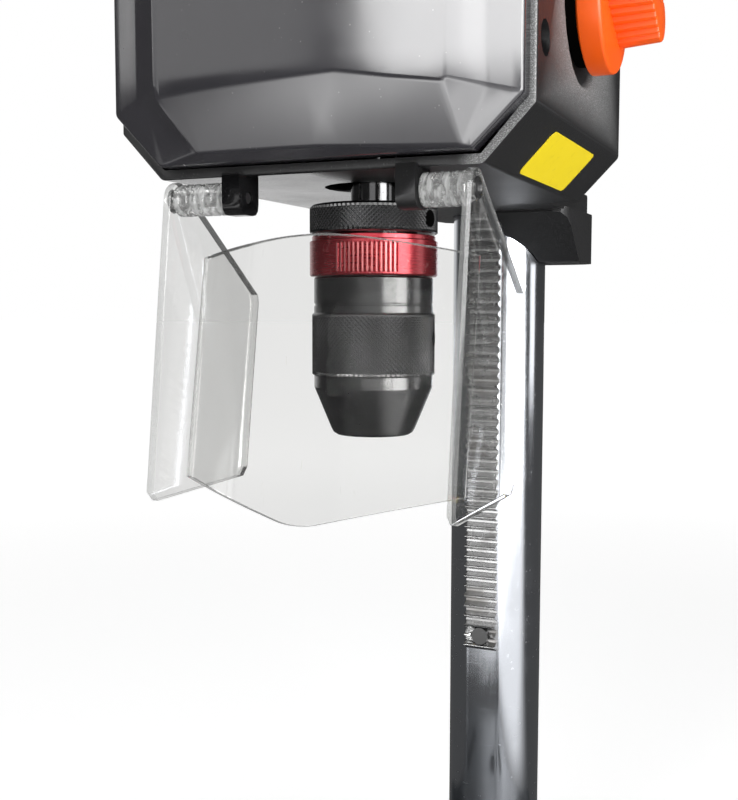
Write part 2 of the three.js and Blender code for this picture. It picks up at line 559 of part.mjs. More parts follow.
function selector() {
  const centre = [behind(KNOB.back), up(KNOB.rise)];
  const floor = CASE_RIGHT - KNOB.depth;
  const [discBack, discFront] = [CASE_RIGHT + KNOB.discBack, CASE_RIGHT + KNOB.discFront];
  const end = CASE_RIGHT + KNOB.end;
  const skirt = revolve([
    [0, floor + GAP], [KNOB.disc - 3, floor + GAP], [KNOB.disc - 3, discBack - 1], [KNOB.disc, discBack],
    [KNOB.disc, discFront - 1], [KNOB.disc - 1, discFront], [0, discFront],
  ], 24);
  const gripShape = (inset) => slot(KNOB.barHalf, KNOB.barRadius - inset, KNOB.barTilt, centre);
  const grip = prism(gripShape(0), 'x', [discFront - 1, end - 2], 4);
  const small = prism(gripShape(1.2), 'x', [discFront - 1, end], 4);
  const flutes = [];
  const turn = rad(KNOB.barTilt);
  for (const side of [-1, 1]) {
    for (let i = -2; i <= 2; i += 1) {
      const along = 4 * i;
      const across = side * (KNOB.barRadius + 0.3);
      const y = centre[0] + along * Math.cos(turn) - across * Math.sin(turn);
      const z = centre[1] + along * Math.sin(turn) + across * Math.cos(turn);
      flutes.push(bar('x', 1.1, [discFront + 3, end - 4], [y, z], 4));
    }
  }
  const socket = hole('x', KNOB.shaft + GAP, [floor - 1, floor + 12], centre, 10);
  add('selector_knob', cut(join(alongX(skirt, ...centre), grip, small), ...flutes, socket), 'orange');

  const [pinY, pinZ] = [centre[0] + KNOB.crank * Math.SQRT1_2, centre[1] - KNOB.crank * Math.SQRT1_2];
  const shaft = join(
    bar('x', KNOB.shaft, [CASE_RIGHT - 9.3, floor + 11.5], centre, 10),
    bar('x', 8, [CASE_RIGHT - 10.3, CASE_RIGHT - 7.9], centre, 14),
    bar('x', KNOB.pin, [CASE_RIGHT - 16.3, CASE_RIGHT - 9.3], [pinY, pinZ], 8),
  );
  add('selector_shaft', shaft, 'steel');

  const [cx, cy] = counterPlace();
  const tabSpan = [CASE_RIGHT - 15.8, CASE_RIGHT - 12.3];
  const [forkLow, forkHigh] = [up(KNOB.rise - 8.6), up(KNOB.rise - 5)];
  const forkShape = rounded([[cx - 12, cy - 11], [tabSpan[1], cy - 24], [tabSpan[1], cy + 2], [cx - 12, cy + 11]], 2);
  const fork = prism(forkShape, 'z', [forkLow, forkHigh], 3);
  const tab = box(tabSpan, [behind(4), behind(26)], [forkLow, forkLow + 12]);
  const rod = [50, cy - 15];
  add('shift_fork', cut(
    join(fork, tab),
    prism(slot(12, 7.9, 0, [cx - 12, cy]), 'z', [forkLow - 1, forkHigh + 1], 3),
    hole('z', 3.4, [forkLow - 1, forkHigh + 1], rod, 10),
    prism(slot(3.2, KNOB.pin + 2 * GAP, 0, [pinY, pinZ]), 'x', [tabSpan[0] - 1, tabSpan[1] + 1], 3),
  ), 'blackPlastic');
  const rodSpan = [up(GEAR_PLATES.low[1]) + GAP, up(GEAR_PLATES.high[0]) - GAP];
  add('fork_rod', bar('z', 3, rodSpan, rod, 10), 'steel');
}

// Gear train, bearings and bearing plates

function counterPlace() {
  const near = (SPINDLE_WHEEL.teeth + COUNTER_PINION.teeth) * SPINDLE_WHEEL.module / 2 + CENTRE_PLAY;
  const far = (COUNTER_WHEEL.teeth + MOTOR_PINION.teeth) * COUNTER_WHEEL.module / 2 + CENTRE_PLAY;
  const along = (near ** 2 - far ** 2 + MOTOR_BACK ** 2) / (2 * MOTOR_BACK);
  return [Math.sqrt(near ** 2 - along ** 2), behind(along)];
}

function bearing(name, place, bore, outer, [low, high]) {
  const ring = revolve([[bore, low], [outer, low], [outer, high], [bore, high]], 14, place);
  add(name, ring, 'steel');
}

function gearTrain() {
  const spindle = [0, SPINDLE_Y];
  const counter = counterPlace();
  const motor = [0, behind(MOTOR_BACK)];
  const toCounter = Math.atan2(counter[1] - spindle[1], counter[0]);
  const toMotor = Math.atan2(motor[1] - counter[1], -counter[0]);
  const [lowPlate, highPlate] = [GEAR_PLATES.low, GEAR_PLATES.high].map((span) => span.map(up));
  const [left, right] = [CASE_LEFT + CASE.wall + GAP, CASE_RIGHT - CASE.wall - GAP];
  const [front, rear] = [CASE_FRONT + 6, CASE_BACK - CASE.wall - GAP];
  const plate = (span, name, holes) => {
    const shape = outline([[left, front], [right, front], [right, rear], [left, rear]]);
    const through = [span[0] - 1, span[1] + 1];
    const bores = holes.map(([place, radius]) => hole('z', radius, through, place, 14));
    add(name, cut(prism(shape, 'z', span), ...bores), 'castAlloy');
  };
  plate(lowPlate, 'gear_plate_lower', [[spindle, 16 + GAP], [counter, 11 + GAP]]);
  plate(highPlate, 'gear_plate_upper', [[spindle, 14 + GAP], [counter, 11 + GAP], [motor, 12]]);
  bearing('spindle_bearing_lower', spindle, 8 + GAP, 16, lowPlate);
  bearing('spindle_bearing_upper', spindle, 6 + GAP, 14, highPlate);
  bearing('counter_bearing_lower', counter, 4 + GAP, 11, lowPlate);
  bearing('counter_bearing_upper', counter, 4 + GAP, 11, highPlate);

  add('spindle', revolve([[0, up(-14)], [6.5, up(-14)], [6.5, up(-7.4)], [8, up(-6.4)], [8, up(34)], [11, up(34)],
    [11, up(36) - GAP], [8, up(36) - GAP], [8, up(50)], [6, up(50)], [6, up(102)], [0, up(102)]], 14, spindle), 'steel');
  add('spindle_gear', gear(SPINDLE_WHEEL, toCounter, spindle, 8 + GAP), 'steel');
  const pinionTurn = toCounter + Math.PI + Math.PI / COUNTER_PINION.teeth;
  const shaft = revolve([[0, up(21)], [4, up(21)], [4, up(30)], [6, up(30)], [6, up(47.2)], [7.2, up(47.2)], [7.2, up(61.8)],
    [6, up(61.8)], [6, up(90)], [4, up(90)], [4, up(99)], [0, up(99)]], 12, counter);
  add('countershaft', join(shaft, gear(COUNTER_PINION, pinionTurn, counter)), 'steel');
  add('counter_gear', gear(COUNTER_WHEEL, toMotor, counter, 7.2 - 1.2 + GAP), 'steel');
  return { motor, motorTurn: toMotor + Math.PI + Math.PI / MOTOR_PINION.teeth, deck: GEAR_PLATES.high[1] };
}

// Motor: shields, stator, armature and fan

function driveMotor({ motor, motorTurn, deck }) {
  const [low, high] = [deck + GAP, deck + 80];
  const shield = (from, bore) => {
    const shape = disc(30, motor);
    shape.holes.push(disc(bore, motor));
    return prism(shape, 'z', [up(from), up(from + 7)], 8);
  };
  add('motor_shield_lower', shield(low, 6), 'castAlloy');
  add('motor_shield_upper', shield(high, 5), 'castAlloy');
  const stator = revolve([[18, up(low + 7 + GAP)], [30, up(low + 7 + GAP)], [30, up(high - GAP)], [18, up(high - GAP)]], 20, motor);
  add('motor_stator', stator, 'steel');
  const armature = revolve([[0, up(58)], [4, up(58)], [4, up(low + 14)], [16.6, up(low + 14)], [16.6, up(high - 24)], [10, up(high - 24)],
    [10, up(high - 12)], [4, up(high - 12)], [4, up(high + 20)], [0, up(high + 20)]], 12, motor);
  add('motor_armature', join(armature, gear(MOTOR_PINION, motorTurn, motor)), 'copper');
  const hub = revolve([[4 + GAP, up(high + 9)], [8, up(high + 9)], [8, up(high + 18)], [4 + GAP, up(high + 18)]], 10, motor);
  const blades = [];
  for (let i = 0; i < 5; i += 1) {
    const blade = box([6, 25], [-0.9, 0.9], [up(high + 9), up(high + 18)]).rotateZ(rad(72 * i)).translate(...motor, 0);
    blades.push(blade);
  }
  const web = revolve([[4 + GAP, up(high + 9)], [25, up(high + 9)], [25, up(high + 10.5)], [4 + GAP, up(high + 10.5)]], 12, motor);
  add('motor_fan', join(hub, web, ...blades), 'blackPlastic');
  add('control_board', box([-68, -66.4], [behind(-20), behind(40)], [up(104), up(150)]), 'green');
}

// Cable gland in the rear wall

function cableGland() {
  const centre = GLAND;
  const body = join(
    bar('y', 8.6, [CASE_BACK - 8, CASE_BACK + GAP + 0.1], centre, 14),
    bar('y', 12.5, [CASE_BACK + GAP, CASE_BACK + 5], centre, 6),
    bar('y', 9, [CASE_BACK + 4.5, CASE_BACK + 14], centre, 14),
  );
  add('cable_gland', cut(body, hole('y', 4, [CASE_BACK - 10, CASE_BACK + 16], centre, 10)), 'blackPlastic');
}

// Keyless chuck

function chuck() {
  const at = [0, SPINDLE_Y];
  const { ringRadius: ring, neckRadius: neck, gripRadius: grip, bandRadius: band } = CHUCK;
  const spanner = bar('x', 2.7, [15, 30], [0, up(CHUCK.ringBottom + 5)], 10).rotateZ(rad(-4)).translate(0, SPINDLE_Y, 0);
  const top = revolve([[8.6, up(CHUCK.top)], [ring - 1.2, up(CHUCK.top)], [ring, up(CHUCK.top - 1)], [ring, up(CHUCK.ringBottom + GAP)],
    [15.3, up(CHUCK.ringBottom + GAP)], [15.3, up(CHUCK.top - 3)], [8.6, up(CHUCK.top - 3)]], ROUND, at);
  add('chuck_top_ring', cut(top, spanner), 'blackSteel');

  const redTop = CHUCK.ringBottom - GAP;
  const flange = ring - 0.8;
  const red = revolve([[15.3, up(redTop)], [flange, up(redTop)], [flange, up(redTop - 1.8)], [ring, up(redTop - 2.2)],
    [ring, up(CHUCK.redBottom + 0.6)], [ring - 0.5, up(CHUCK.redBottom)], [15.3, up(CHUCK.redBottom)]], ROUND, at);
  const ribs = [];
  for (let i = 0; i < ROUND; i += 2) {
    const notch = box([ring - 0.9, ring + 2], [-0.8, 0.8], [up(CHUCK.redBottom + 1.4), up(redTop - 3)]);
    ribs.push(notch.rotateZ(2 * Math.PI * (i + 0.5) / ROUND).translate(...at, 0));
  }
  add('release_ring', cut(red, ...ribs), 'redAlloy');

  const body = revolve([[0, up(-14.3)], [0, up(-40)], [6.8, up(-40)], [6.8, up(-77)], [13.2, up(-77)], [18, up(-62)],
    [18, up(-33)], [15, up(-33)], [15, up(-10.2)], [6.8, up(-10.2)], [6.8, up(-14.3)]], 20, at);
  const jaws = [...Array(JAW.count).keys()];
  add('chuck_body', cut(body, ...jaws.map((i) => jawForm(i, JAW.radius + 0.35, JAW.length + 16, -6))), 'blackSteel');

  const inner = 18.4;
  const sleeveForm = revolve([[inner, up(CHUCK.redBottom - GAP)], [neck - 0.4, up(CHUCK.redBottom - GAP)],
    [neck, up(CHUCK.redBottom - 0.8)], [neck, up(CHUCK.gripTop + 0.3)],
    [grip, up(CHUCK.gripTop)], [grip, up(CHUCK.gripBottom)], [band, up(CHUCK.gripBottom - 0.4)], [band, up(CHUCK.coneTop)],
    [CHUCK.tipRadius, up(CHUCK.tip + 1.4)], [CHUCK.tipRadius - 1.4, up(CHUCK.tip)], [9.5, up(CHUCK.tip)],
    [9.5, up(CHUCK.tip + 2)], [13.8, up(-77.5)], [inner, up(-62.5)]], ROUND, at);
  add('chuck_sleeve', sleeveForm, 'blackSteel');
  jaws.forEach((i) => add(`chuck_jaw_${i + 1}`, common(jawForm(i, JAW.radius, JAW.length, 0), jawSector(i)), 'steel'));
}

/** A round jaw leaning in towards the tip; its lower end is dropped along its own axis. */
function jawForm(index, radius, length, drop) {
  const form = new THREE.CylinderGeometry(radius, radius, length, 10).rotateX(Math.PI / 2);
  form.translate(0, 0, length / 2 + drop).rotateY(rad(JAW.lean)).translate(JAW.foot, 0, up(JAW.footRise));
  return form.rotateZ(jawTurn(index)).translate(0, SPINDLE_Y, 0);
}

/** The third of the chuck that a jaw keeps to, moved out by its travel from the closed place. */
function jawSector(index) {
  const edge = JAW.travel * Math.sin(rad(JAW.lean)) + JAW.play;
  const [flat, depth] = [0.5, 14];
  const spread = flat + depth * Math.tan(rad(60));
  const shape = outline([[edge, -flat], [edge + depth, -spread], [edge + depth, spread], [edge, flat]]);
  return prism(shape, 'z', [up(-95), up(-30)]).rotateZ(jawTurn(index)).translate(0, SPINDLE_Y, 0);
}

const jawTurn = (index) => rad(120 * index - 90);

// Guard: two side plates and a bowed front sheet hung on the casing's lugs

function guard() {
  const [y, z] = [behind(GUARD.pivotBack), up(GUARD.pivotDrop)];
  const shape = new THREE.Shape();
  shape.moveTo(y - GUARD.ear, z);
  const corners = [[behind(-60), up(-102)], [behind(-57), up(-105.3)], [behind(-2), up(-104.5)], [behind(1), up(-101.5)],
    [behind(10.5), up(-40)], [behind(10), up(-37)]];
  corners.forEach(([a, b]) => shape.lineTo(a, b));
  shape.lineTo(y + GUARD.ear * 0.72, z + GUARD.ear * 0.7);
  shape.absarc(y, z, GUARD.ear, rad(44), rad(180), false);
  const along = (from, to) => [Math.min(from, to), Math.max(from, to)];
  for (const [name, side, lug] of [['left', -1, LUG.left], ['right', 1, LUG.right]]) {
    const inner = GUARD.shift + side * GUARD.inner;
    const outer = inner + side * GUARD.plate;
    const near = lug + side * (LUG.half + GUARD.play);
    const plate = prism(shape, 'x', along(inner, outer), 4);
    const length = Math.abs(inner - near);
    const body = GUARD.studRadius;
    const profile = [[0, 0], [body, 0]];
    for (let i = 0; i < GUARD.studRibs; i += 1) {
      const start = 0.6 + i * (length - 1) / GUARD.studRibs;
      profile.push([body + 0.6, start], [body + 0.6, start + 1.6], [body, start + 2.2]);
    }
    profile.push([body, length + 0.5], [0, length + 0.5]);
    const stud = alongX(revolve(profile, 10), y, z).translate(side > 0 ? near : near - length - 0.5, 0, 0);
    const bore = hole('x', GUARD.pinRadius + 0.4, along(near - side, outer + side), [y, z], 8);
    const seat = hole('x', 2 * GUARD.pinRadius + GAP, along(outer - side * 1.6, outer + side), [y, z], 10);
    add(`guard_side_${name}`, cut(join(plate, stud), bore, seat), 'clear');
    const start = lug - side * (LUG.half + 0.2);
    const end = outer + side * 0.4;
    const pin = join(
      bar('x', GUARD.pinRadius, along(start, end), [y, z], 8),
      bar('x', 2 * GUARD.pinRadius, along(outer - side * 1.2, end), [y, z], 10),
    );
    add(`guard_pin_${name}`, pin, 'steel');
  }
  const half = GUARD.inner - GAP;
  const radius = (half ** 2 + GUARD.bow ** 2) / (2 * GUARD.bow);
  const ends = Math.asin(half / radius);
  const arc = new THREE.Shape();
  arc.absarc(0, radius - GUARD.bow, radius, -Math.PI / 2 - ends, -Math.PI / 2 + ends, false);
  arc.absarc(0, radius - GUARD.bow, radius - GUARD.sheet, -Math.PI / 2 + ends * 1.017, -Math.PI / 2 - ends * 1.017, true);
  const strip = prism(arc, 'z', [-120, 0], 10);
  const edge = [[-half, -94], [-1, -108], [half, -94.5], [half, -19.2], [8, -14.2], [-10, -14.2], [-half, -18.3]];
  const trim = rounded(edge, [1, 12, 1, 1, 40, 40, 1]);
  const sheet = common(strip, prism(trim, 'y', [-60, 60], 3));
  sheet.rotateX(rad(-GUARD.tilt)).translate(GUARD.shift, y + 16.5, z);
  add('guard_sheet', sheet, 'clear');
}

base();
column();
casing();
frontCover();
sleeve();
feed();
selector();
driveMotor(gearTrain());
cableGland();
chuck();
guard();

export default press;
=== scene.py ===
"""Benchtop drill press: the finished pieces, their materials and a plain studio."""

import logging
import math
from dataclasses import dataclass
from enum import Enum
from typing import Any, Callable, Sequence

import bmesh
import bpy
from mathutils import Matrix, Vector


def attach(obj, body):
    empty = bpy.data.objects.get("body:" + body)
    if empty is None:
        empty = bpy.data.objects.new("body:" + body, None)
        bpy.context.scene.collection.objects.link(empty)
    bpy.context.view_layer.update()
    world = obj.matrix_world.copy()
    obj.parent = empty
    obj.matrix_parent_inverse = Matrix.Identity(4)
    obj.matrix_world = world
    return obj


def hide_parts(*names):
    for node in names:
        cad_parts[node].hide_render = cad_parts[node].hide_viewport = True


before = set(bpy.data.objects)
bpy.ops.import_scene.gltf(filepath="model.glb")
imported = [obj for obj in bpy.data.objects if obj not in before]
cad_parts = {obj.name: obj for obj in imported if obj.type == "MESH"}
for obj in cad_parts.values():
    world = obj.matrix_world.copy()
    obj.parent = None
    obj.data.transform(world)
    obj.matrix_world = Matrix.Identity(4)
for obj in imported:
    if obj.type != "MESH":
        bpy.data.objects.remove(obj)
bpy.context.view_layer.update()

log = logging.getLogger("press")

Number = float | int
Colour = tuple[float, float, float]
Place = tuple[float, float, float]
Point = tuple[float, float]
Plane = tuple[Place, Place]
Span = tuple[float, float]

# Shared places in millimetres; pairs are (Y, Z)
MILLIMETRE = 0.001
SPINDLE_Y = -151.0
HEAD_BOTTOM = 360.0
CASE_FRONT = -45.5
HEAD_SHIFT = -1.3
CASE_RIGHT = 70.0
PINION = (-36.25, 550.0)
KNOB_CENTRE = (-139.0, 417.8)
PIVOT = (-193.0, 353.4)

# Vertex attribute that is 1 on knurl crests and rib tips, which are worn paler, and on the casing's knob
# recess rim, where it marks a painted highlight
WEAR_AND_HIGHLIGHT = "worn"
X_WAY, Z_WAY = (1, 0, 0), (0, 0, 1)


def up(rise: float) -> float:
    """Height above the head's underside as a height in the part's frame."""
    return HEAD_BOTTOM + rise


def rgb(red: int, green: int, blue: int) -> Colour:
    """Turns a screen's colour into the plain light that shaders work in.

    Args:
        red: Its red, 0 to 255.
        green: Its green.
        blue: Its blue.

    Returns:
        The colour.
    """
    def light(level: int) -> float:
        """One channel as plain light."""
        share = level / 255
        return share / 12.92 if share <= 0.04045 else ((share + 0.055) / 1.055) ** 2.4
    return light(red), light(green), light(blue)


class Axis(Enum):
    """Main directions, with the turn that lays a form made about Z along them."""

    X = Matrix(((0, 0, 1, 0), (1, 0, 0, 0), (0, 1, 0, 0), (0, 0, 0, 1)))
    Y = Matrix(((1, 0, 0, 0), (0, 0, 1, 0), (0, -1, 0, 0), (0, 0, 0, 1)))
    Z = Matrix.Identity(4)


# Shader graphs

class Value:
    """A number that varies over a surface; arithmetic on it adds Math nodes."""

    def __init__(self, graph: "Graph", socket: bpy.types.NodeSocket) -> None:
        """Keeps the graph and the socket that gives the number."""
        self.graph = graph
        self.socket = socket

    def __add__(self, other: "Value | Number") -> "Value":
        """The sum."""
        return self.graph.maths("ADD", self, other)

    def __sub__(self, other: "Value | Number") -> "Value":
        """The difference."""
        return self.graph.maths("SUBTRACT", self, other)

    def __rsub__(self, other: "Value | Number") -> "Value":
        """The difference, taken from another number."""
        return self.graph.maths("SUBTRACT", other, self)

    def __mul__(self, other: "Value | Number") -> "Value":
        """The product."""
        return self.graph.maths("MULTIPLY", self, other)

    def __pow__(self, other: "Value | Number") -> "Value":
        """The power."""
        return self.graph.maths("POWER", self, other)

    __radd__ = __add__
    __rmul__ = __mul__

    def either(self, other: "Value") -> "Value":
        """The larger of two masks."""
        return self.graph.maths("MAXIMUM", self, other)


Input = Value | bpy.types.NodeSocket | Number | tuple


class Graph:
    """A node tree whose nodes all come from one method."""

    def __init__(self, tree: bpy.types.NodeTree, output: str = "ShaderNodeOutputMaterial") -> None:
        """Empties the tree and gives it its output node.

        Args:
            tree: The tree of a material or of the world.
            output: The type of the output node.
        """
        self.tree = tree
        tree.nodes.clear()
        self.output = self.node(output)
        self.coordinates = self.node("ShaderNodeTexCoord")

    def node(self, kind: str, settings: dict[str, Any] | None = None,
             sockets: dict[str | int, Input] | None = None) -> bpy.types.Node:
        """Adds a node.

        Args:
            kind: The node's type.
            settings: Its properties, set first.
            sockets: Values or links of its inputs, by name or number.

        Returns:
            The new node.
        """
        made = self.tree.nodes.new(kind)
        for name, value in (settings or {}).items():
            setattr(made, name, value)
        for name, value in (sockets or {}).items():
            self.feed(made.inputs[name], value)
        return made

    def feed(self, socket: bpy.types.NodeSocket, value: Input) -> None:
        """Links a socket, or sets its own value.

        Args:
            socket: The input to feed.
            value: A varying value, a socket, a number or a colour.
        """
        if isinstance(value, Value):
            self.tree.links.new(value.socket, socket)
        elif isinstance(value, bpy.types.NodeSocket):
            self.tree.links.new(value, socket)
        elif socket.type == "RGBA" and len(value) == 3:
            socket.default_value = (*value, 1.0)
        else:
            socket.default_value = value

    def maths(self, operation: str, *values: Value | Number) -> Value:
        """One Math node.

        Args:
            operation: The node's operation.
            values: What it works on.

        Returns:
            The result.
        """
        made = self.node("ShaderNodeMath", {"operation": operation}, dict(enumerate(values)))
        return Value(self, made.outputs[0])

    def axis(self, name: str) -> Value:
        """The place along X, Y or Z in millimetres."""
        made = self.node("ShaderNodeSeparateXYZ", {}, {0: self.coordinates.outputs["Object"]})
        return Value(self, made.outputs[name]) * (1 / MILLIMETRE)

    def noise(self, grain: float, detail: float = 2.0, stretch: Place = (1, 1, 1),
              start: float = 0.0) -> Value:
        """Soft random variation from 0 to 1.

        Args:
            grain: Size of its largest features in millimetres.
            detail: How many finer layers it has.
            stretch: How many times as dense it is along each axis.
            start: Moves the pattern, so that two layers differ.

        Returns:
            The variation.
        """
        placed = self.node("ShaderNodeMapping", {}, {
            "Vector": self.coordinates.outputs["Object"], "Location": (start,) * 3, "Scale": stretch})
        made = self.node("ShaderNodeTexNoise", {}, {
            "Vector": placed.outputs[0], "Scale": 1 / (grain * MILLIMETRE), "Detail": detail})
        return Value(self, made.outputs[0])

    def painted(self, name: str) -> Value:
        """A number that the mesh carries by that name, 0 where it has none."""
        made = self.node("ShaderNodeAttribute", {"attribute_name": name})
        return Value(self, made.outputs["Fac"])

    def cells(self, grain: float) -> Value:
        """Random cells.

        Args:
            grain: Their size in millimetres.

        Returns:
            The distance from the middle of each.
        """
        made = self.node("ShaderNodeTexVoronoi", {}, {
            "Vector": self.coordinates.outputs["Object"], "Scale": 1 / (grain * MILLIMETRE)})
        return Value(self, made.outputs["Distance"])

    def span(self, value: Value, low: float, high: float, start: float = 0.0, end: float = 1.0) -> Value:
        """Maps one range onto another, smoothly and clamped.

        Args:
            value: What is mapped.
            low: Where the range starts.
            high: Where it ends.
            start: The result at its start.
            end: The result at its end.

        Returns:
            The mapped value.
        """
        made = self.node("ShaderNodeMapRange", {"interpolation_type": "SMOOTHSTEP"}, {
            "Value": value, "From Min": low, "From Max": high, "To Min": start, "To Max": end})
        return Value(self, made.outputs[0])

    def blend(self, share: Input, first: Input, second: Input) -> bpy.types.NodeSocket:
        """Mixes two colours.

        Args:
            share: How much of the second there is.
            first: The colour at 0.
            second: The colour at 1.

        Returns:
            The mixed colour's socket.
        """
        made = self.node("ShaderNodeMix", {"data_type": "RGBA"}, {0: share, 6: first, 7: second})
        return made.outputs[2]

    def relief(self, height: Value, depth: float,
               beneath: bpy.types.NodeSocket | None = None) -> bpy.types.NodeSocket:
        """Bumps the surface by a height from 0 to 1.

        Args:
            height: The height.
            depth: What a height of 1 is, in millimetres.
            beneath: A coarser relief that this one lies on.

        Returns:
            The bumped normal's socket.
        """
        sockets: dict[str | int, Input] = {"Height": height, "Distance": depth * MILLIMETRE, "Strength": 1.0}
        if beneath is not None:
            sockets["Normal"] = beneath
        return self.node("ShaderNodeBump", {}, sockets).outputs[0]

    def ray(self, kind: str) -> Value:
        """1 where the ray is of that kind, by the name that the Light Path node gives it."""
        return Value(self, self.node("ShaderNodeLightPath").outputs[kind])

    def glow(self, strength: Value) -> bpy.types.NodeSocket:
        """White light of that strength."""
        return self.node("ShaderNodeEmission", {}, {"Color": (1, 1, 1), "Strength": strength}).outputs[0]

    def layered(self, share: Value, under: bpy.types.NodeSocket,
                over: bpy.types.NodeSocket) -> bpy.types.NodeSocket:
        """Mixes two shaders, the second by the given share."""
        return self.node("ShaderNodeMixShader", {}, {0: share, 1: under, 2: over}).outputs[0]

    def finish(self, shader: bpy.types.NodeSocket) -> None:
        """Joins a shader to the output."""
        self.feed(self.output.inputs["Surface"], shader)

    def surface(self, sockets: dict[str | int, Input]) -> None:
        """Joins the main shader, with those inputs, to the output."""
        self.finish(self.node("ShaderNodeBsdfPrincipled", {}, sockets).outputs[0])


def new_material(name: str) -> tuple[bpy.types.Material, Graph]:
    """Makes an empty material.

    Args:
        name: Its name.

    Returns:
        The material and the graph that fills it.
    """
    made = bpy.data.materials.new(name)
    made.use_nodes = True
    return made, Graph(made.node_tree)


def shaded(colour: Colour, share: float) -> Colour:
    """A colour made that many times as bright."""
    red, green, blue = (level * share for level in colour)
    return red, green, blue


def linked(name: str, data: bpy.types.ID) -> bpy.types.Object:
    """Makes an object of the scene.

    Args:
        name: Its name.
        data: The mesh, lamp or camera that it shows.

    Returns:
        The object.
    """
    made = bpy.data.objects.new(name, data)
    bpy.context.scene.collection.objects.link(made)
    return made


# Finishes

TURNED = (0.08, 0.08, 1)


@dataclass(frozen=True)
class Moulded:
    """Moulded plastic: a fine grain, faint clouds in its gloss, and dust in the grain."""

    name: str
    colour: Colour
    rough: float = 0.45
    grain: float = 0.5
    depth: float = 0.02
    cloud: float = 0.12
    dust: float = 0.0
    shine: float = 0.5
    dust_colour: Colour = (0.55, 0.55, 0.54)

    def material(self) -> bpy.types.Material:
        """Makes the finish.

        Returns:
            The finished material.
        """
        made, graph = new_material(self.name)
        grain = graph.noise(self.grain, 3.0)
        broad = graph.noise(24.0, 4.0, start=3.0)
        swept = graph.span(graph.noise(9.0, 2.0, start=5.0), 0.52, 0.6)
        specks = graph.span(graph.cells(2.6), 0.12, 0.05) * swept
        darker = shaded(self.colour, 1 - self.cloud)
        lighter = tuple(min(1.0, level * (1 + self.cloud) + 0.0015) for level in self.colour)
        base = graph.blend(graph.span(broad, 0.3, 0.7), darker, lighter)
        colour = graph.blend(specks * self.dust, base, self.dust_colour)
        rough = broad * 0.16 + grain * 0.08 + (self.rough - 0.12)
        coarse = graph.relief(graph.noise(60.0, 1.0, start=7.0), 0.12)
        graph.surface({"Base Color": colour, "Roughness": rough, "Specular IOR Level": self.shine,
                       "Normal": graph.relief(grain, self.depth, coarse)})
        return made


@dataclass(frozen=True)
class Textured:
    """Spark-textured black plastic: pale glints in its grain, and pale specks painted as highlight on the
    right of its front rim and along marked rims.
    """

    name: str
    colour: Colour
    rough: float = 0.5
    rim: float = CASE_FRONT + SPINDLE_Y
    highlight_from: float = 46.0
    shine: float = 0.5
    # Colour of the painted highlight specks and of the glints
    pale: Colour = rgb(205, 206, 206)

    def material(self) -> bpy.types.Material:
        """Makes the finish: painted highlight specks on the right of the front rim and on marked rims, and a
        smoother underside on the left.

        Returns:
            The finished material.
        """
        made, graph = new_material(self.name)
        across = graph.axis("X")
        under = graph.span(graph.axis("Z"), up(0.6), up(0.2)) * graph.span(across, 12.0, -6.0)
        pits = graph.noise(0.9, 3.0)
        fine = graph.noise(0.35, 2.0, start=2.0)
        broad = graph.noise(30.0, 3.0, start=4.0)
        # Painted highlight: pale specks on the right of the front rim, where the lamps light it, and on rims
        # marked for a highlight
        behind = graph.axis("Y") - self.rim
        rim = graph.span(behind, 0.5, 0.2) * graph.span(behind, -1.4, -1.0)
        right = graph.span(across, self.highlight_from, self.highlight_from + 6.0)
        sparkle = graph.span(fine, 0.46, 0.66)
        glints = graph.span(graph.noise(0.6, 2.0, start=9.0), 0.64, 0.72) * graph.span(broad, 0.45, 0.7)
        lit = (rim * right).either(graph.painted(WEAR_AND_HIGHLIGHT))
        specks = (sparkle * 0.7 + 0.3) * lit * 0.62 + glints * 0.1
        colour = graph.blend(specks, self.colour, self.pale)
        rough = broad * 0.12 + fine * 0.2 + under * -0.3 + (self.rough - 0.16)
        smoother = 1 - under * 0.9
        coarse = graph.relief(pits * smoother, 0.09)
        graph.surface({"Base Color": colour, "Roughness": rough, "Specular IOR Level": self.shine,
                       "Normal": graph.relief(fine * smoother, 0.035, coarse)})
        return made


@dataclass(frozen=True)
class Steel:
    """Bare metal: drawn or turned lines along one axis, fine scratches and dull patches."""

    name: str
    colour: Colour
    rough: float = 0.2
    lines: Place = (1, 1, 0.04)
    line_depth: float = 0.01
    patch: float = 0.3
    stain: Colour = (0.22, 0.2, 0.18)
    stained: float = 0.15

    def material(self) -> bpy.types.Material:
        """Makes the finish.

        Returns:
            The finished material.
        """
        made, graph = new_material(self.name)
        lines = graph.noise(0.7, 3.0, self.lines)
        broad = graph.noise(18.0, 5.0, start=6.0)
        scratches = graph.span(graph.noise(1.6, 4.0, (self.lines[2], self.lines[0], 1), start=8.0), 0.66, 0.7)
        dull = graph.span(broad, 0.5, 0.68)
        colour = graph.blend(dull * self.stained, self.colour, self.stain)
        rough = lines * 0.1 + dull * self.patch * 0.4 + scratches * 0.12 + (self.rough - 0.06)
        graph.surface({"Base Color": colour, "Metallic": 1.0, "Roughness": rough,
                       "Normal": graph.relief(lines, self.line_depth)})
        return made


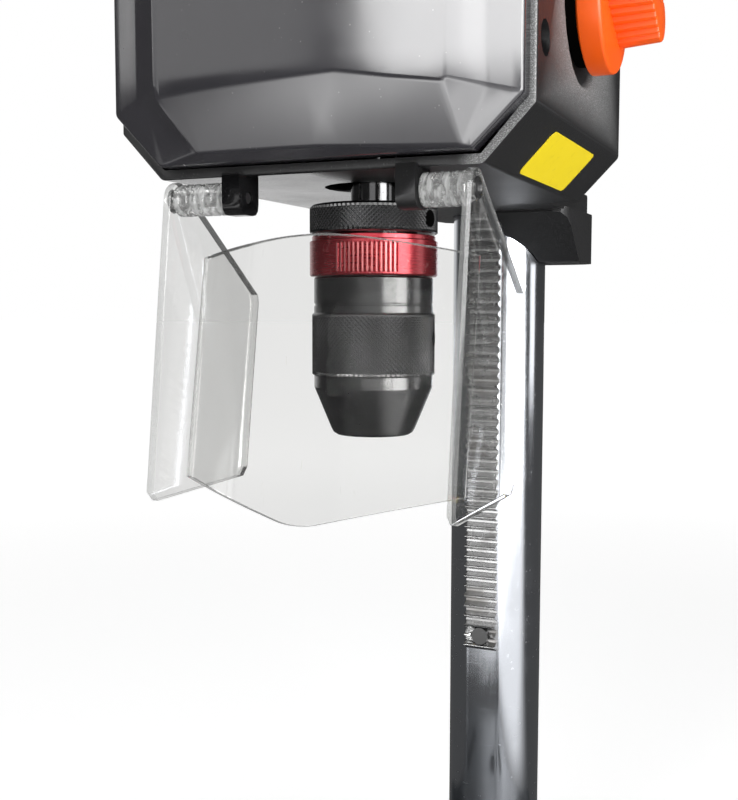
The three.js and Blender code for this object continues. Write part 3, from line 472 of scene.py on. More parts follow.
@dataclass(frozen=True)
class Blackened:
    """Black-oxide steel: deep satin black, turned marks, and small chips down to bright metal."""

    name: str
    colour: Colour = (0.007, 0.007, 0.0075)
    rough: float = 0.2
    chips: float = 0.55
    index: float = 2.05
    crest: Colour = (0.24, 0.24, 0.245)
    metal: Colour = (0.62, 0.6, 0.58)

    def material(self) -> bpy.types.Material:
        """Makes the finish.

        Returns:
            The finished material.
        """
        made, graph = new_material(self.name)
        rings = graph.noise(0.5, 3.0, TURNED)
        broad = graph.noise(9.0, 4.0, start=1.0)
        chipped = graph.span(graph.noise(4.2, 3.0, start=11.0), 0.6, 0.66)
        flecks = graph.span(graph.cells(1.9), 0.17, 0.08) * chipped
        worn = graph.span(graph.painted(WEAR_AND_HIGHLIGHT), 0.55, 0.95)
        bare = flecks * self.chips
        oxide = graph.blend(broad, self.colour, shaded(self.colour, 1.9))
        colour = graph.blend(bare, graph.blend(worn, oxide, self.crest), self.metal)
        rough = rings * 0.05 + broad * 0.1 + (self.rough - 0.07)
        graph.surface({"Base Color": colour, "Metallic": bare.either(worn), "Roughness": rough,
                       "IOR": self.index, "Normal": graph.relief(rings, 0.004)})
        return made


@dataclass(frozen=True)
class Anodised:
    """Dyed and sealed alloy: clear deep colour over metal, paler where it is rubbed."""

    name: str
    colour: Colour
    worn: Colour
    rough: float = 0.3

    def material(self) -> bpy.types.Material:
        """Makes the finish.

        Returns:
            The finished material.
        """
        made, graph = new_material(self.name)
        rings = graph.noise(0.5, 3.0, TURNED)
        handled = graph.span(graph.noise(3.5, 4.0, start=2.0), 0.6, 0.74) * 0.5
        rubbed = handled.either(graph.painted(WEAR_AND_HIGHLIGHT) * 0.8)
        colour = graph.blend(rubbed, self.colour, self.worn)
        rough = rings * 0.08 + rubbed * 0.1 + (self.rough - 0.06)
        graph.surface({"Base Color": colour, "Metallic": 0.8, "Roughness": rough, "Coat Weight": 0.6,
                       "Coat Roughness": 0.2, "Coat IOR": 1.6, "Normal": graph.relief(rings, 0.005)})
        return made


@dataclass(frozen=True)
class Cast:
    """Painted casting: orange-peel paint over sand-cast skin, with faint patches of grime."""

    name: str
    colour: Colour
    rough: float = 0.5
    peel: float = 3.0
    depth: float = 0.16
    metal: float = 0.0
    dirt: Colour = (0.02, 0.019, 0.018)

    def material(self) -> bpy.types.Material:
        """Makes the finish.

        Returns:
            The finished material.
        """
        made, graph = new_material(self.name)
        peel = graph.noise(self.peel, 2.0)
        sand = graph.noise(0.7, 3.0, start=4.0)
        broad = graph.noise(40.0, 4.0, start=6.0)
        colour = graph.blend(graph.span(peel, 0.35, 0.65), shaded(self.colour, 0.72), self.colour)
        grime = graph.span(broad, 0.52, 0.75) * 0.3
        rough = peel * 0.2 + sand * 0.1 + (self.rough - 0.14)
        coarse = graph.relief(peel, self.depth)
        graph.surface({"Base Color": graph.blend(grime, colour, self.dirt), "Roughness": rough,
                       "Metallic": self.metal, "Normal": graph.relief(sand, 0.02, coarse)})
        return made


@dataclass(frozen=True)
class Clear:
    """Clear plastic seen against a pale room: tinted, faintly hazy, with scratches and gloss."""

    name: str
    tint: float = 0.93
    haze: float = 0.006
    mottle: float = 0.0
    rough: float = 0.05
    gloss: float = 0.22
    grey: Colour = (0.8, 0.81, 0.8)

    def material(self) -> bpy.types.Material:
        """Makes the finish; lamps shine through it, so it casts only a faint shadow.

        Returns:
            The finished material.
        """
        made, graph = new_material(self.name)
        dust = graph.span(graph.noise(1.1, 3.0, start=2.0), 0.68, 0.76)
        wipes = graph.span(graph.noise(30.0, 4.0, (1, 1, 0.3), start=5.0), 0.5, 0.78)
        scratches = graph.span(graph.noise(2.4, 5.0, (1, 1, 0.06), start=3.0), 0.69, 0.72)
        patches = graph.span(graph.noise(2.2, 3.0, (1, 0.4, 0.4), start=8.0), 0.38, 0.62)
        milk = wipes * 0.008 + dust * 0.03 + scratches * 0.05 + patches * self.mottle + self.haze
        wave = graph.relief(graph.noise(26.0, 2.0, start=9.0), 0.012)
        gloss = Value(graph, graph.node("ShaderNodeFresnel", {}, {"IOR": 1.46, "Normal": wave}).outputs[0])
        tint = (self.tint, self.tint, self.tint * 0.995)
        clear = graph.node("ShaderNodeBsdfTransparent", {}, {"Color": tint})
        body = graph.node("ShaderNodeBsdfDiffuse", {}, {"Color": self.grey})
        shine = graph.node("ShaderNodeBsdfGlossy", {}, {
            "Color": (1, 1, 1), "Roughness": wipes * 0.1 + self.rough, "Normal": wave})
        hazy = graph.layered(milk, clear.outputs[0], body.outputs[0])
        graph.finish(graph.layered(gloss * self.gloss, hazy, shine.outputs[0]))
        return made


@dataclass(frozen=True)
class Printed:
    """A satin vinyl sticker with a faint weave of print and soft patches of soil."""

    name: str
    colour: Colour

    def material(self) -> bpy.types.Material:
        """Makes the finish.

        Returns:
            The finished material.
        """
        made, graph = new_material(self.name)
        broad = graph.noise(12.0, 3.0)
        fine = graph.noise(0.4, 2.0, start=3.0)
        soil = graph.span(graph.noise(3.0, 4.0, start=6.0), 0.58, 0.72) * 0.25
        colour = graph.blend(soil, self.colour, shaded(self.colour, 0.7))
        graph.surface({"Base Color": colour, "Roughness": broad * 0.15 + 0.3,
                       "Normal": graph.relief(fine, 0.006)})
        return made


class Finish(Enum):
    """Every finish of the press, by the part of it that wears it."""

    COVER = Moulded("cover plastic", rgb(50, 49, 53), rough=0.16, grain=0.45, depth=0.0015, cloud=0.04,
                    dust=0.12, shine=1.0)
    CASING = Textured("casing plastic", rgb(20, 20, 21))
    BLACK = Moulded("black plastic", rgb(26, 26, 28), rough=0.45, depth=0.012, dust=0.2)
    # Near-black and almost without gloss: painted shade for spanner holes and for the knob's gap to the
    # casing
    PIT = Moulded("painted shade", rgb(2, 2, 2), rough=0.8, depth=0.01, shine=0.02)
    RUBBER = Moulded("grip plastic", rgb(22, 22, 23), rough=0.55, grain=0.8, depth=0.03, dust=0.3)
    KNOB = Moulded("orange plastic", rgb(255, 94, 0), shine=0.4, rough=0.36, grain=0.6, depth=0.008,
                   cloud=0.06)
    START = Moulded("green button", rgb(38, 140, 70), rough=0.35, depth=0.006)
    STOP = Moulded("red button", rgb(196, 40, 34), rough=0.35, depth=0.006)
    BOARD = Moulded("circuit board", rgb(34, 92, 58), rough=0.35, grain=1.4, depth=0.02)
    COLUMN = Steel("column steel", (0.62, 0.64, 0.68), rough=0.15, patch=0.12, stain=(0.3, 0.31, 0.33),
                   stained=0.08)
    RACK = Steel("rack steel", (0.5, 0.5, 0.5), rough=0.26, lines=(0.05, 1, 1), patch=0.5, stained=0.5)
    BRIGHT = Steel("ground steel", (0.62, 0.62, 0.62), rough=0.16, lines=TURNED)
    # Far darker than bare steel: painted shade for the dark that the spindle reflects under the head
    SPINDLE = Steel("spindle steel darkened as painted shade", (0.11, 0.11, 0.112), rough=0.14, lines=TURNED)
    ZINC = Steel("plated steel", (0.6, 0.61, 0.62), rough=0.28, patch=0.5, stained=0.25)
    INNER = Steel("gear steel", (0.45, 0.45, 0.46), rough=0.32, lines=(0.2, 0.2, 1), patch=0.6, stained=0.4)
    COPPER = Steel("wound copper", (0.72, 0.34, 0.16), rough=0.35, lines=(0.1, 0.1, 1), line_depth=0.05)
    OXIDE = Blackened("black steel")
    SCREW = Blackened("screw steel", chips=0.7, rough=0.34)
    RED = Anodised("red alloy", (0.36, 0.018, 0.03), (0.75, 0.3, 0.3))
    BASE = Cast("hammered paint", rgb(66, 69, 72), rough=0.42, peel=4.0, depth=0.22, metal=0.25)
    SLEEVE = Cast("sleeve paint", rgb(27, 27, 28), rough=0.5, peel=1.6, depth=0.05)
    ALLOY = Cast("cast alloy", rgb(120, 122, 124), rough=0.5, peel=1.4, depth=0.06, metal=0.8)
    CLEAR = Clear("clear plastic")
    SHEET = Clear("clear sheet", tint=0.885, haze=0.002, gloss=0.05)
    CLEAR_EDGE = Clear("clear plastic edge", tint=0.8, haze=0.2, rough=0.12, gloss=0.9)
    STUD = Clear("frosted plastic", tint=0.86, haze=0.16, mottle=0.3, rough=0.1, gloss=0.9)
    STICKER = Printed("yellow sticker", rgb(240, 214, 0))

    def material(self) -> bpy.types.Material:
        """The finish's material, made once."""
        kept = bpy.data.materials.get(self.value.name)
        return kept if kept is not None else self.value.material()


# Forms

@dataclass(frozen=True)
class Seat:
    """Where a piece belongs: the body it rides on, its material slot and the nodes it stands for."""

    body: str
    slot: str
    nodes: tuple[str, ...] = ()


def verts_among(items: Sequence[Any]) -> list[bmesh.types.BMVert]:
    """The vertices among what an operator gives back."""
    return [item for item in items if isinstance(item, bmesh.types.BMVert)]


class Form:
    """A piece being shaped, in millimetres of the part's frame."""

    def __init__(self) -> None:
        """Starts with nothing."""
        self.mesh = bmesh.new()

    @classmethod
    def turned(cls, profile: Sequence[Point], steps: int, axis: Axis = Axis.Z,
               centre: Place = (0.0, 0.0, 0.0), soft: float = 0.0) -> "Form":
        """Spins a profile of (radius, height) points all the way round an axis.

        Args:
            profile: The points; it is closed unless it starts and ends on the axis.
            steps: Facets round the axis.
            axis: The axis that the height runs along.
            centre: Where the profile's origin goes.
            soft: Radius of its rounded corners, none if zero.

        Returns:
            The turned form.
        """
        form = cls()
        verts = [form.mesh.verts.new((radius, 0, height)) for radius, height in profile]
        pairs = list(zip(verts, verts[1:]))
        if profile[0][0] > 0 or profile[-1][0] > 0:
            pairs.append((verts[-1], verts[0]))
        for pair in pairs:
            form.mesh.edges.new(pair)
        if soft > 0:
            form.rounded([vert for vert in verts if vert.co.x > 1e-4], soft, 3)
        bmesh.ops.spin(form.mesh, geom=form.mesh.verts[:] + form.mesh.edges[:], cent=(0, 0, 0), axis=Z_WAY,
                       angle=2 * math.pi, steps=steps, use_merge=True, use_duplicate=False)
        bmesh.ops.remove_doubles(form.mesh, verts=form.mesh.verts[:], dist=1e-4)
        form.face_out()
        return form.moved(Matrix.Translation(centre) @ axis.value)

    @classmethod
    def prism(cls, outline: Sequence[Point], span: Span, axis: Axis = Axis.Z, corner: float = 0.0,
              steps: int = 5, holes: Sequence[tuple[Point, float]] = ()) -> "Form":
        """Extrudes an outline along an axis: X takes (Y, Z) points, Y takes (X, -Z), Z takes (X, Y).

        Args:
            outline: The corner points.
            span: Where it starts and ends along the axis.
            axis: The axis that it is extruded along.
            corner: Radius of its corners.
            steps: Facets in each rounded corner.
            holes: Round holes as (centre, radius).

        Returns:
            The extruded form.
        """
        form = cls()
        form.loop([(a, b, 0) for a, b in outline])
        if corner > 0:
            form.rounded(form.mesh.verts[:], corner, steps)
        for (a, b), radius in holes:
            place = Matrix.Translation((a, b, 0))
            bmesh.ops.create_circle(form.mesh, segments=32, radius=radius, matrix=place)
        return form.raised(span, axis)

    def loop(self, points: Sequence[Place]) -> list[bmesh.types.BMEdge]:
        """Draws a closed line through the points."""
        verts = [self.mesh.verts.new(point) for point in points]
        return [self.mesh.edges.new(pair) for pair in zip(verts, verts[1:] + verts[:1])]

    def rounded(self, corners: Sequence[bmesh.types.BMVert], reach: float, steps: int) -> None:
        """Rounds corners of a flat form.

        Args:
            corners: Its vertices there.
            reach: How far each arc reaches along its edges.
            steps: Facets in each arc.
        """
        bmesh.ops.bevel(self.mesh, geom=corners, offset=reach, affect="VERTICES", segments=steps,
                        profile=0.5, material=-1, clamp_overlap=True)

    def raised(self, span: Span, axis: Axis) -> "Form":
        """Fills the flat loops drawn so far and extrudes them.

        Args:
            span: Where the form starts and ends along the axis.
            axis: The axis that it is extruded along.

        Returns:
            The form itself.
        """
        bmesh.ops.triangle_fill(self.mesh, edges=self.mesh.edges[:], use_beauty=True)
        bmesh.ops.dissolve_limit(self.mesh, angle_limit=0.01, verts=self.mesh.verts[:],
                                 edges=self.mesh.edges[:])
        grown = bmesh.ops.extrude_face_region(self.mesh, geom=self.mesh.faces[:], use_keep_orig=True)
        bmesh.ops.translate(self.mesh, vec=(0, 0, span[1] - span[0]), verts=verts_among(grown["geom"]))
        bmesh.ops.translate(self.mesh, vec=(0, 0, span[0]), verts=self.mesh.verts[:])
        self.face_out()
        return self.moved(axis.value)

    @classmethod
    def copied(cls, node: str, flat: float = 0.5) -> "Form":
        """Merges and tidies a copy of a node's mesh.

        Args:
            node: The node's name.
            flat: Faces that meet at less than this many degrees become one.

        Returns:
            The copy, in millimetres.
        """
        form = cls()
        form.mesh.from_mesh(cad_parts[node].data)
        form.moved(Matrix.Scale(1 / MILLIMETRE, 4))
        bmesh.ops.remove_doubles(form.mesh, verts=form.mesh.verts[:], dist=1e-3)
        bmesh.ops.dissolve_limit(form.mesh, angle_limit=math.radians(flat), verts=form.mesh.verts[:],
                                 edges=form.mesh.edges[:])
        return form

    def moved(self, matrix: Matrix) -> "Form":
        """Places the whole form by a matrix."""
        bmesh.ops.transform(self.mesh, matrix=matrix, verts=self.mesh.verts[:])
        return self

    def scored(self, planes: Sequence[Plane]) -> "Form":
        """Cuts new edges into the form.

        Args:
            planes: The cutting planes as (place, normal).

        Returns:
            The form itself.
        """
        for place, normal in planes:
            whole = self.mesh.verts[:] + self.mesh.edges[:] + self.mesh.faces[:]
            bmesh.ops.bisect_plane(self.mesh, geom=whole, dist=1e-4, plane_co=place, plane_no=normal)
        return self

    def face_out(self) -> "Form":
        """Points every face outwards."""
        bmesh.ops.recalc_face_normals(self.mesh, faces=self.mesh.faces[:])
        return self

    def soften(self, width: float, segments: int = 2, above: float = 30.0,
               chosen: Callable[[bmesh.types.BMEdge], bool] | None = None) -> "Form":
        """Bevels the edges that turn by more than an angle.

        Args:
            width: The bevel's width.
            segments: Its facets.
            above: The least angle in degrees.
            chosen: Says which of those edges are taken, all if none is given.

        Returns:
            The form itself.
        """
        edges = [edge for edge in self.mesh.edges
                 if edge.is_manifold and edge.calc_face_angle() > math.radians(above)
                 and (chosen is None or chosen(edge))]
        if edges:
            bmesh.ops.bevel(self.mesh, geom=edges, offset=width, affect="EDGES", segments=segments,
                            profile=0.5, material=-1, clamp_overlap=True)
        return self

    def joined(self, *others: "Form") -> "Form":
        """Takes other forms into this one as further closed bodies.

        Args:
            others: The forms, which are used up.

        Returns:
            The form itself.
        """
        for other in others:
            spare = bpy.data.meshes.new("spare")
            other.mesh.to_mesh(spare)
            self.mesh.from_mesh(spare)
            bpy.data.meshes.remove(spare)
            other.mesh.free()
        return self

    def piece(self, name: str, finish: Finish, seat: Seat, smooth: float = 32.0,
              second: Finish | None = None, where: Callable[[bmesh.types.BMFace], bool] | None = None,
              even: bool = False) -> bpy.types.Object:
        """Makes the form an object of the press.

        Args:
            name: The piece's name.
            finish: What it is made of.
            seat: Where it belongs.
            smooth: Edges that turn by less than this many degrees are shaded smooth.
            second: A finish for some of its faces.
            where: Says which faces take the second finish.
            even: Whether large faces are to be shaded flat up to their softened edges.

        Returns:
            The finished object.
        """
        self.moved(Matrix.Scale(MILLIMETRE, 4))
        self.mesh.normal_update()
        for face in self.mesh.faces:
            face.smooth = True
            face.material_index = int(where is not None and where(face))
        mesh = bpy.data.meshes.new(name)
        self.mesh.to_mesh(mesh)
        self.mesh.free()
        mesh.set_sharp_from_angle(angle=math.radians(smooth))
        mesh.materials.append(finish.material())
        if second is not None:
            mesh.materials.append(second.material())
        made = linked(name, mesh)
        if even:
            weighted = made.modifiers.new("even", "WEIGHTED_NORMAL")
            weighted.keep_sharp = True
        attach(made, seat.body)
        if seat.nodes:
            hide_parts(*seat.nodes)
        log.info("%s: %d faces on %s", name, len(mesh.polygons), seat.body)
        return made


def dress(nodes: Sequence[str], finish: Finish) -> None:
    """Gives carried-over nodes their finish.

    Args:
        nodes: The nodes' names.
        finish: What they are made of.
    """
    for name in nodes:
        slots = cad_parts[name].material_slots
        for slot in slots:
            slot.link = "OBJECT"
            slot.material = finish.material()
        log.info("%s: dressed, %d slots", name, len(slots))


# Column, rack and cap

@dataclass
class Column:
    """The plated tube with its rack bar, screws and end cap."""

    radius: float = 21.7
    wall: float = 4.0
    low: float = 12.3
    top: float = 628.0
    steps: int = 128
    rack_half: float = 7.5
    rack_bottom: float = 158.0
    rack_teeth: int = 89
    rack_pitch: float = 1.5 * math.pi
    rack_gap: float = 0.3
    flat: float = -20.05
    flat_past: float = 4.0
    plug_depth: float = 14.0
    plug_gap: float = 0.3
    cap_edge: tuple[Point, ...] = ((0, 0.3), (0, 2.4), (-2.2, 5))
    cap_height: float = 6.0

    def tube(self) -> None:
        """The tube, with a flat milled for the rack."""
        outer, inner = self.radius, self.radius - self.wall
        form = Form.turned([(inner, self.low), (outer, self.low), (outer, self.top), (inner, self.top)],
                           self.steps, soft=0.6)
        low = self.rack_bottom - self.flat_past
        high = self.rack_bottom + self.rack_teeth * self.rack_pitch + self.flat_past
        side = self.rack_half + self.rack_gap
        form.scored([((0, 0, low), Z_WAY), ((0, 0, high), Z_WAY),
                     ((-side, 0, 0), X_WAY), ((side, 0, 0), X_WAY)])
        for vert in form.mesh.verts:
            behind_rack = abs(vert.co.x) < side - 0.01 and low - 0.01 < vert.co.z < high + 0.01
            outside = vert.co.y < -inner - 0.3 and math.hypot(vert.co.x, vert.co.y) > outer - 0.2
            if behind_rack and outside:
                vert.co.y = self.flat
        form.piece("column", Finish.COLUMN, Seat("base", "column_steel", ("column_tube",)))

    def cap(self) -> None:
        """The plug that closes the tube's top."""
        outer, top = self.radius, self.top
        plug, low = outer - self.wall - self.plug_gap, top - self.plug_depth
        edge = [(outer + out, top + rise) for out, rise in self.cap_edge]
        profile = [(0, low), (plug, low), (plug, edge[0][1]), *edge, (0, top + self.cap_height)]
        seat = Seat("base", "black_plastic", ("column_cap",))
        Form.turned(profile, 64, soft=0.6).piece("cap", Finish.BLACK, seat)

    def rack(self) -> None:
        """The toothed bar, its teeth broken along their tips, and its two screws."""
        form = Form.copied("rack_bar")
        form.soften(0.28, 1, 40.0, lambda edge: abs(edge.verts[0].co.x - edge.verts[1].co.x) > 8)
        form.piece("rack", Finish.RACK, Seat("base", "rack_steel", ("rack_bar",)))
        dress(["rack_screw_lower", "rack_screw_upper"], Finish.SCREW)

    def build(self) -> None:
        """Builds every piece."""
        self.tube()
        self.cap()
        self.rack()


# Keyless chuck and spindle

@dataclass
class Chuck:
    """The keyless chuck: knurled top ring, red release ring, gripping sleeve, body and jaws."""

    ring: float = 22.4
    neck: float = 20.9
    grip: float = 21.6
    band: float = 20.9
    top: float = -6.5
    ring_bottom: float = -16.7
    red_bottom: float = -31.0
    grip_top: float = -44.2
    grip_bottom: float = -65.0
    cone_top: float = -70.0
    tip: float = -86.4
    tip_radius: float = 14.4
    ring_knurls: int = 84
    grip_knurls: int = 80
    knurl_depth: float = 0.55
    seat: float = 15.3
    bore: float = 18.4
    bore_end: float = -62.5
    throat: Point = (13.8, -77.5)
    mouth: float = 9.5
    top_bore: float = 8.6
    collar: tuple[Point, ...] = ((0, -40.2), (-0.35, -40.5), (-0.35, -41.0), (0, -41.3), (0, -43.6))
    sector: int = 120
    sector_shift: int = 100
    sector_ribbed: int = 55
    rib_step: int = 4
    rib_depth: float = 0.6
    shade_disc_depth: float = 1.2
    spanner_hole_shade: Point = (-7.0, 2.9)
    grip_hole_shade: Point = (12.0, 2.6)
    grip_hole_rise: float = -52.5
    shaft: tuple[Point, ...] = ((0, -14), (6.5, -14), (6.5, -7.4), (8, -6.4), (8, 34), (11, 34), (11, 35.7),
                                (8, 35.7), (8, 50), (6, 50), (6, 102), (0, 102))

    def knurled(self, form: Form, radius: float, span: Span, count: int) -> None:
        """Sinks a net of diamonds between two heights of a turned form whose rows are there already.

        Args:
            form: The form, turned with two facets for each diamond.
            radius: The surface that is knurled.
            span: The rises of its lowest and highest row.
            count: How many diamonds there are round it.
        """
        step = math.pi / count
        rows = self.rows(span, count)
        height = (span[1] - span[0]) / rows
        share = (radius - self.knurl_depth) / radius
        worn = form.mesh.verts.layers.float.new(WEAR_AND_HIGHLIGHT)
        highs = set()
        for vert in form.mesh.verts:
            away = math.hypot(vert.co.x, vert.co.y)
            row = (vert.co.z - up(span[0])) / height
            if abs(away - radius) > 0.05 or not 0.5 < row < rows - 0.5:
                continue
            column = round(math.atan2(vert.co.y, vert.co.x) / step)
            if (column + round(row)) % 2:
                vert.co.x *= share
                vert.co.y *= share
            else:
                vert[worn] = 1.0
                highs.add(vert)
        for face in list(form.mesh.faces):
            pair = [vert for vert in face.verts if vert in highs]
            if len(face.verts) == 4 and len(pair) == 2:
                bmesh.utils.face_split(face, *pair)

    def rows(self, span: Span, count: int) -> int:
        """How many half diamonds fit between two heights."""
        return round((span[1] - span[0]) / (math.pi * self.grip / count))

    def level(self, span: Span, count: int) -> list[float]:
        """The heights of the knurl's rows, from the top down."""
        rows = self.rows(span, count)
        return [span[1] - (span[1] - span[0]) * i / rows for i in range(rows + 1)]

    def at(self, profile: Sequence[Point], steps: int, soft: float = 0.0) -> Form:
        """Turns a profile given from the head's underside, still about the origin's axis."""
        return Form.turned([(radius, up(rise)) for radius, rise in profile], steps, soft=soft)

    def seated(self, form: Form) -> Form:
        """Moves a form from the origin's axis onto the spindle."""
        return form.moved(Matrix.Translation((0, SPINDLE_Y, 0)))

    def top_ring(self) -> None:
        """The knurled ring at the top, with a near-black disc of painted shade standing in for its spanner
        hole.
        """
        span = (self.ring_bottom + 0.8, self.top - 0.8)
        rows = [(self.ring, level) for level in self.level(span, self.ring_knurls)]
        bottom, neck = self.ring_bottom + 0.3, self.top_bore
        profile = [(neck, self.top), (self.ring - 1.0, self.top), *rows, (self.ring - 0.7, bottom),
                   (self.seat, bottom), (self.seat, self.top - 3), (neck, self.top - 3)]
        form = self.at(profile, 2 * self.ring_knurls)
        self.knurled(form, self.ring, span, self.ring_knurls)
        seat = Seat("spindle", "chuck_steel", ("chuck_top_ring",))
        self.seated(form).piece("top_ring", Finish.OXIDE, seat, 20.0)
        self.shade_disc("spanner_hole_shade", self.ring, (self.top + self.ring_bottom) / 2, self.spanner_hole_shade, "spindle")

    def shade_disc(self, name: str, radius: float, rise: float, aim: Point, body: str) -> None:
        """A near-black disc sunk flush into the surface: painted shade standing in for a spanner hole, which
        is not cut.

        Args:
            name: The piece's name.
            radius: The surface that it sits in.
            rise: Its height.
            aim: Its direction from +X about the spindle in degrees, and the disc's radius.
            body: The body that it turns with.
        """
        degrees, size = aim
        mouth = [(0, -0.1), (size, -0.1), (size, -self.shade_disc_depth), (0, -self.shade_disc_depth)]
        form = Form.turned(mouth, 32, Axis.X, (radius + 0.1, 0, up(rise)))
        form.moved(Matrix.Rotation(math.radians(degrees), 4, "Z"))
        self.seated(form).piece(name, Finish.PIT, Seat(body, "chuck_steel"))

    def release_ring(self) -> None:
        """The red ring, ribbed in three sectors."""
        top = self.ring_bottom - 0.3
        flange = self.ring - 0.8
        high, low = top - 3.0, self.red_bottom + 1.0
        profile = [(self.seat, top), (flange - 0.3, top), (flange, top - 0.3), (flange, top - 1.6),
                   (self.ring, top - 2.0), (self.ring, high), (self.ring, high - 0.4), (self.ring, low + 0.4),
                   (self.ring, low), (self.ring, self.red_bottom + 0.5), (self.ring - 0.5, self.red_bottom),
                   (self.seat, self.red_bottom)]
        form = self.at(profile, 360)
        share = (self.ring - self.rib_depth) / self.ring
        worn = form.mesh.verts.layers.float.new(WEAR_AND_HIGHLIGHT)
        for vert in form.mesh.verts:
            away = math.hypot(vert.co.x, vert.co.y)
            degrees = round(math.degrees(math.atan2(vert.co.y, vert.co.x)))
            ribbed = (degrees + self.sector_shift) % self.sector < self.sector_ribbed
            between = up(low) + 0.2 < vert.co.z < up(high) - 0.2
            if not ribbed or not between or abs(away - self.ring) > 0.05:
                continue
            if degrees % self.rib_step == self.rib_step // 2:
                vert.co.x *= share
                vert.co.y *= share
            elif degrees % self.rib_step == 0:
                vert[worn] = 1.0
        seat = Seat("release_ring", "red_alloy", ("release_ring",))
        self.seated(form).piece("red_ring", Finish.RED, seat, 24.0)

    def sleeve(self) -> None:
        """The gripping sleeve: smooth neck, groove, knurled grip, band and rounded nose."""
        span = (self.grip_bottom, self.grip_top)
        rows = [(self.grip, level) for level in self.level(span, self.grip_knurls)]
        neck, band, tip, mouth = self.neck, self.band, self.tip, self.mouth
        collar = [(neck + out, rise) for out, rise in self.collar]
        outside = [(self.bore, self.red_bottom - 0.3), (neck - 0.4, self.red_bottom - 0.3),
                   (neck, self.red_bottom - 0.8), *collar, (self.grip - 0.3, self.grip_top + 0.3), *rows,
                   (band, self.grip_bottom - 0.5), (band, self.cone_top + 0.4),
                   (band - 0.25, self.cone_top - 0.2)]
        nose = [(self.tip_radius + 0.5, tip + 2.4), (self.tip_radius - 0.3, tip + 0.9),
                (self.tip_radius - 1.6, tip + 0.1), (self.tip_radius - 3.0, tip), (mouth + 0.4, tip)]
        inside = [(mouth, tip + 0.4), (mouth, tip + 2), self.throat, (self.bore, self.bore_end)]
        form = self.at(outside + nose + inside, 2 * self.grip_knurls)
        self.knurled(form, self.grip, span, self.grip_knurls)
        seat = Seat("chuck_sleeve", "chuck_steel", ("chuck_sleeve",))
        self.seated(form).piece("chuck_grip", Finish.OXIDE, seat, 20.0)
        self.shade_disc("grip_hole_shade", self.grip, self.grip_hole_rise, self.grip_hole_shade, "chuck_sleeve")

    def spindle(self) -> None:
        """The spindle and its shoulder above the chuck."""
        form = self.at(self.shaft, 64, soft=0.3)
        seat = Seat("spindle", "spindle_steel", ("spindle",))
        self.seated(form).piece("spindle_shaft", Finish.SPINDLE, seat)

    def jaws(self) -> None:
        """The jaws, with their long edges broken, and the body that guides them."""
        for number in (1, 2, 3):
            node = f"chuck_jaw_{number}"
            form = Form.copied(node).soften(0.25, 1, 40.0)
            form.piece(f"jaw_{number}", Finish.ZINC, Seat(node, "jaw_steel", (node,)))
        dress(["chuck_body"], Finish.OXIDE)

    def build(self) -> None:
        """Builds every piece."""
        self.top_ring()
        self.release_ring()
        self.sleeve()
        self.spindle()
        self.jaws()


# Guard

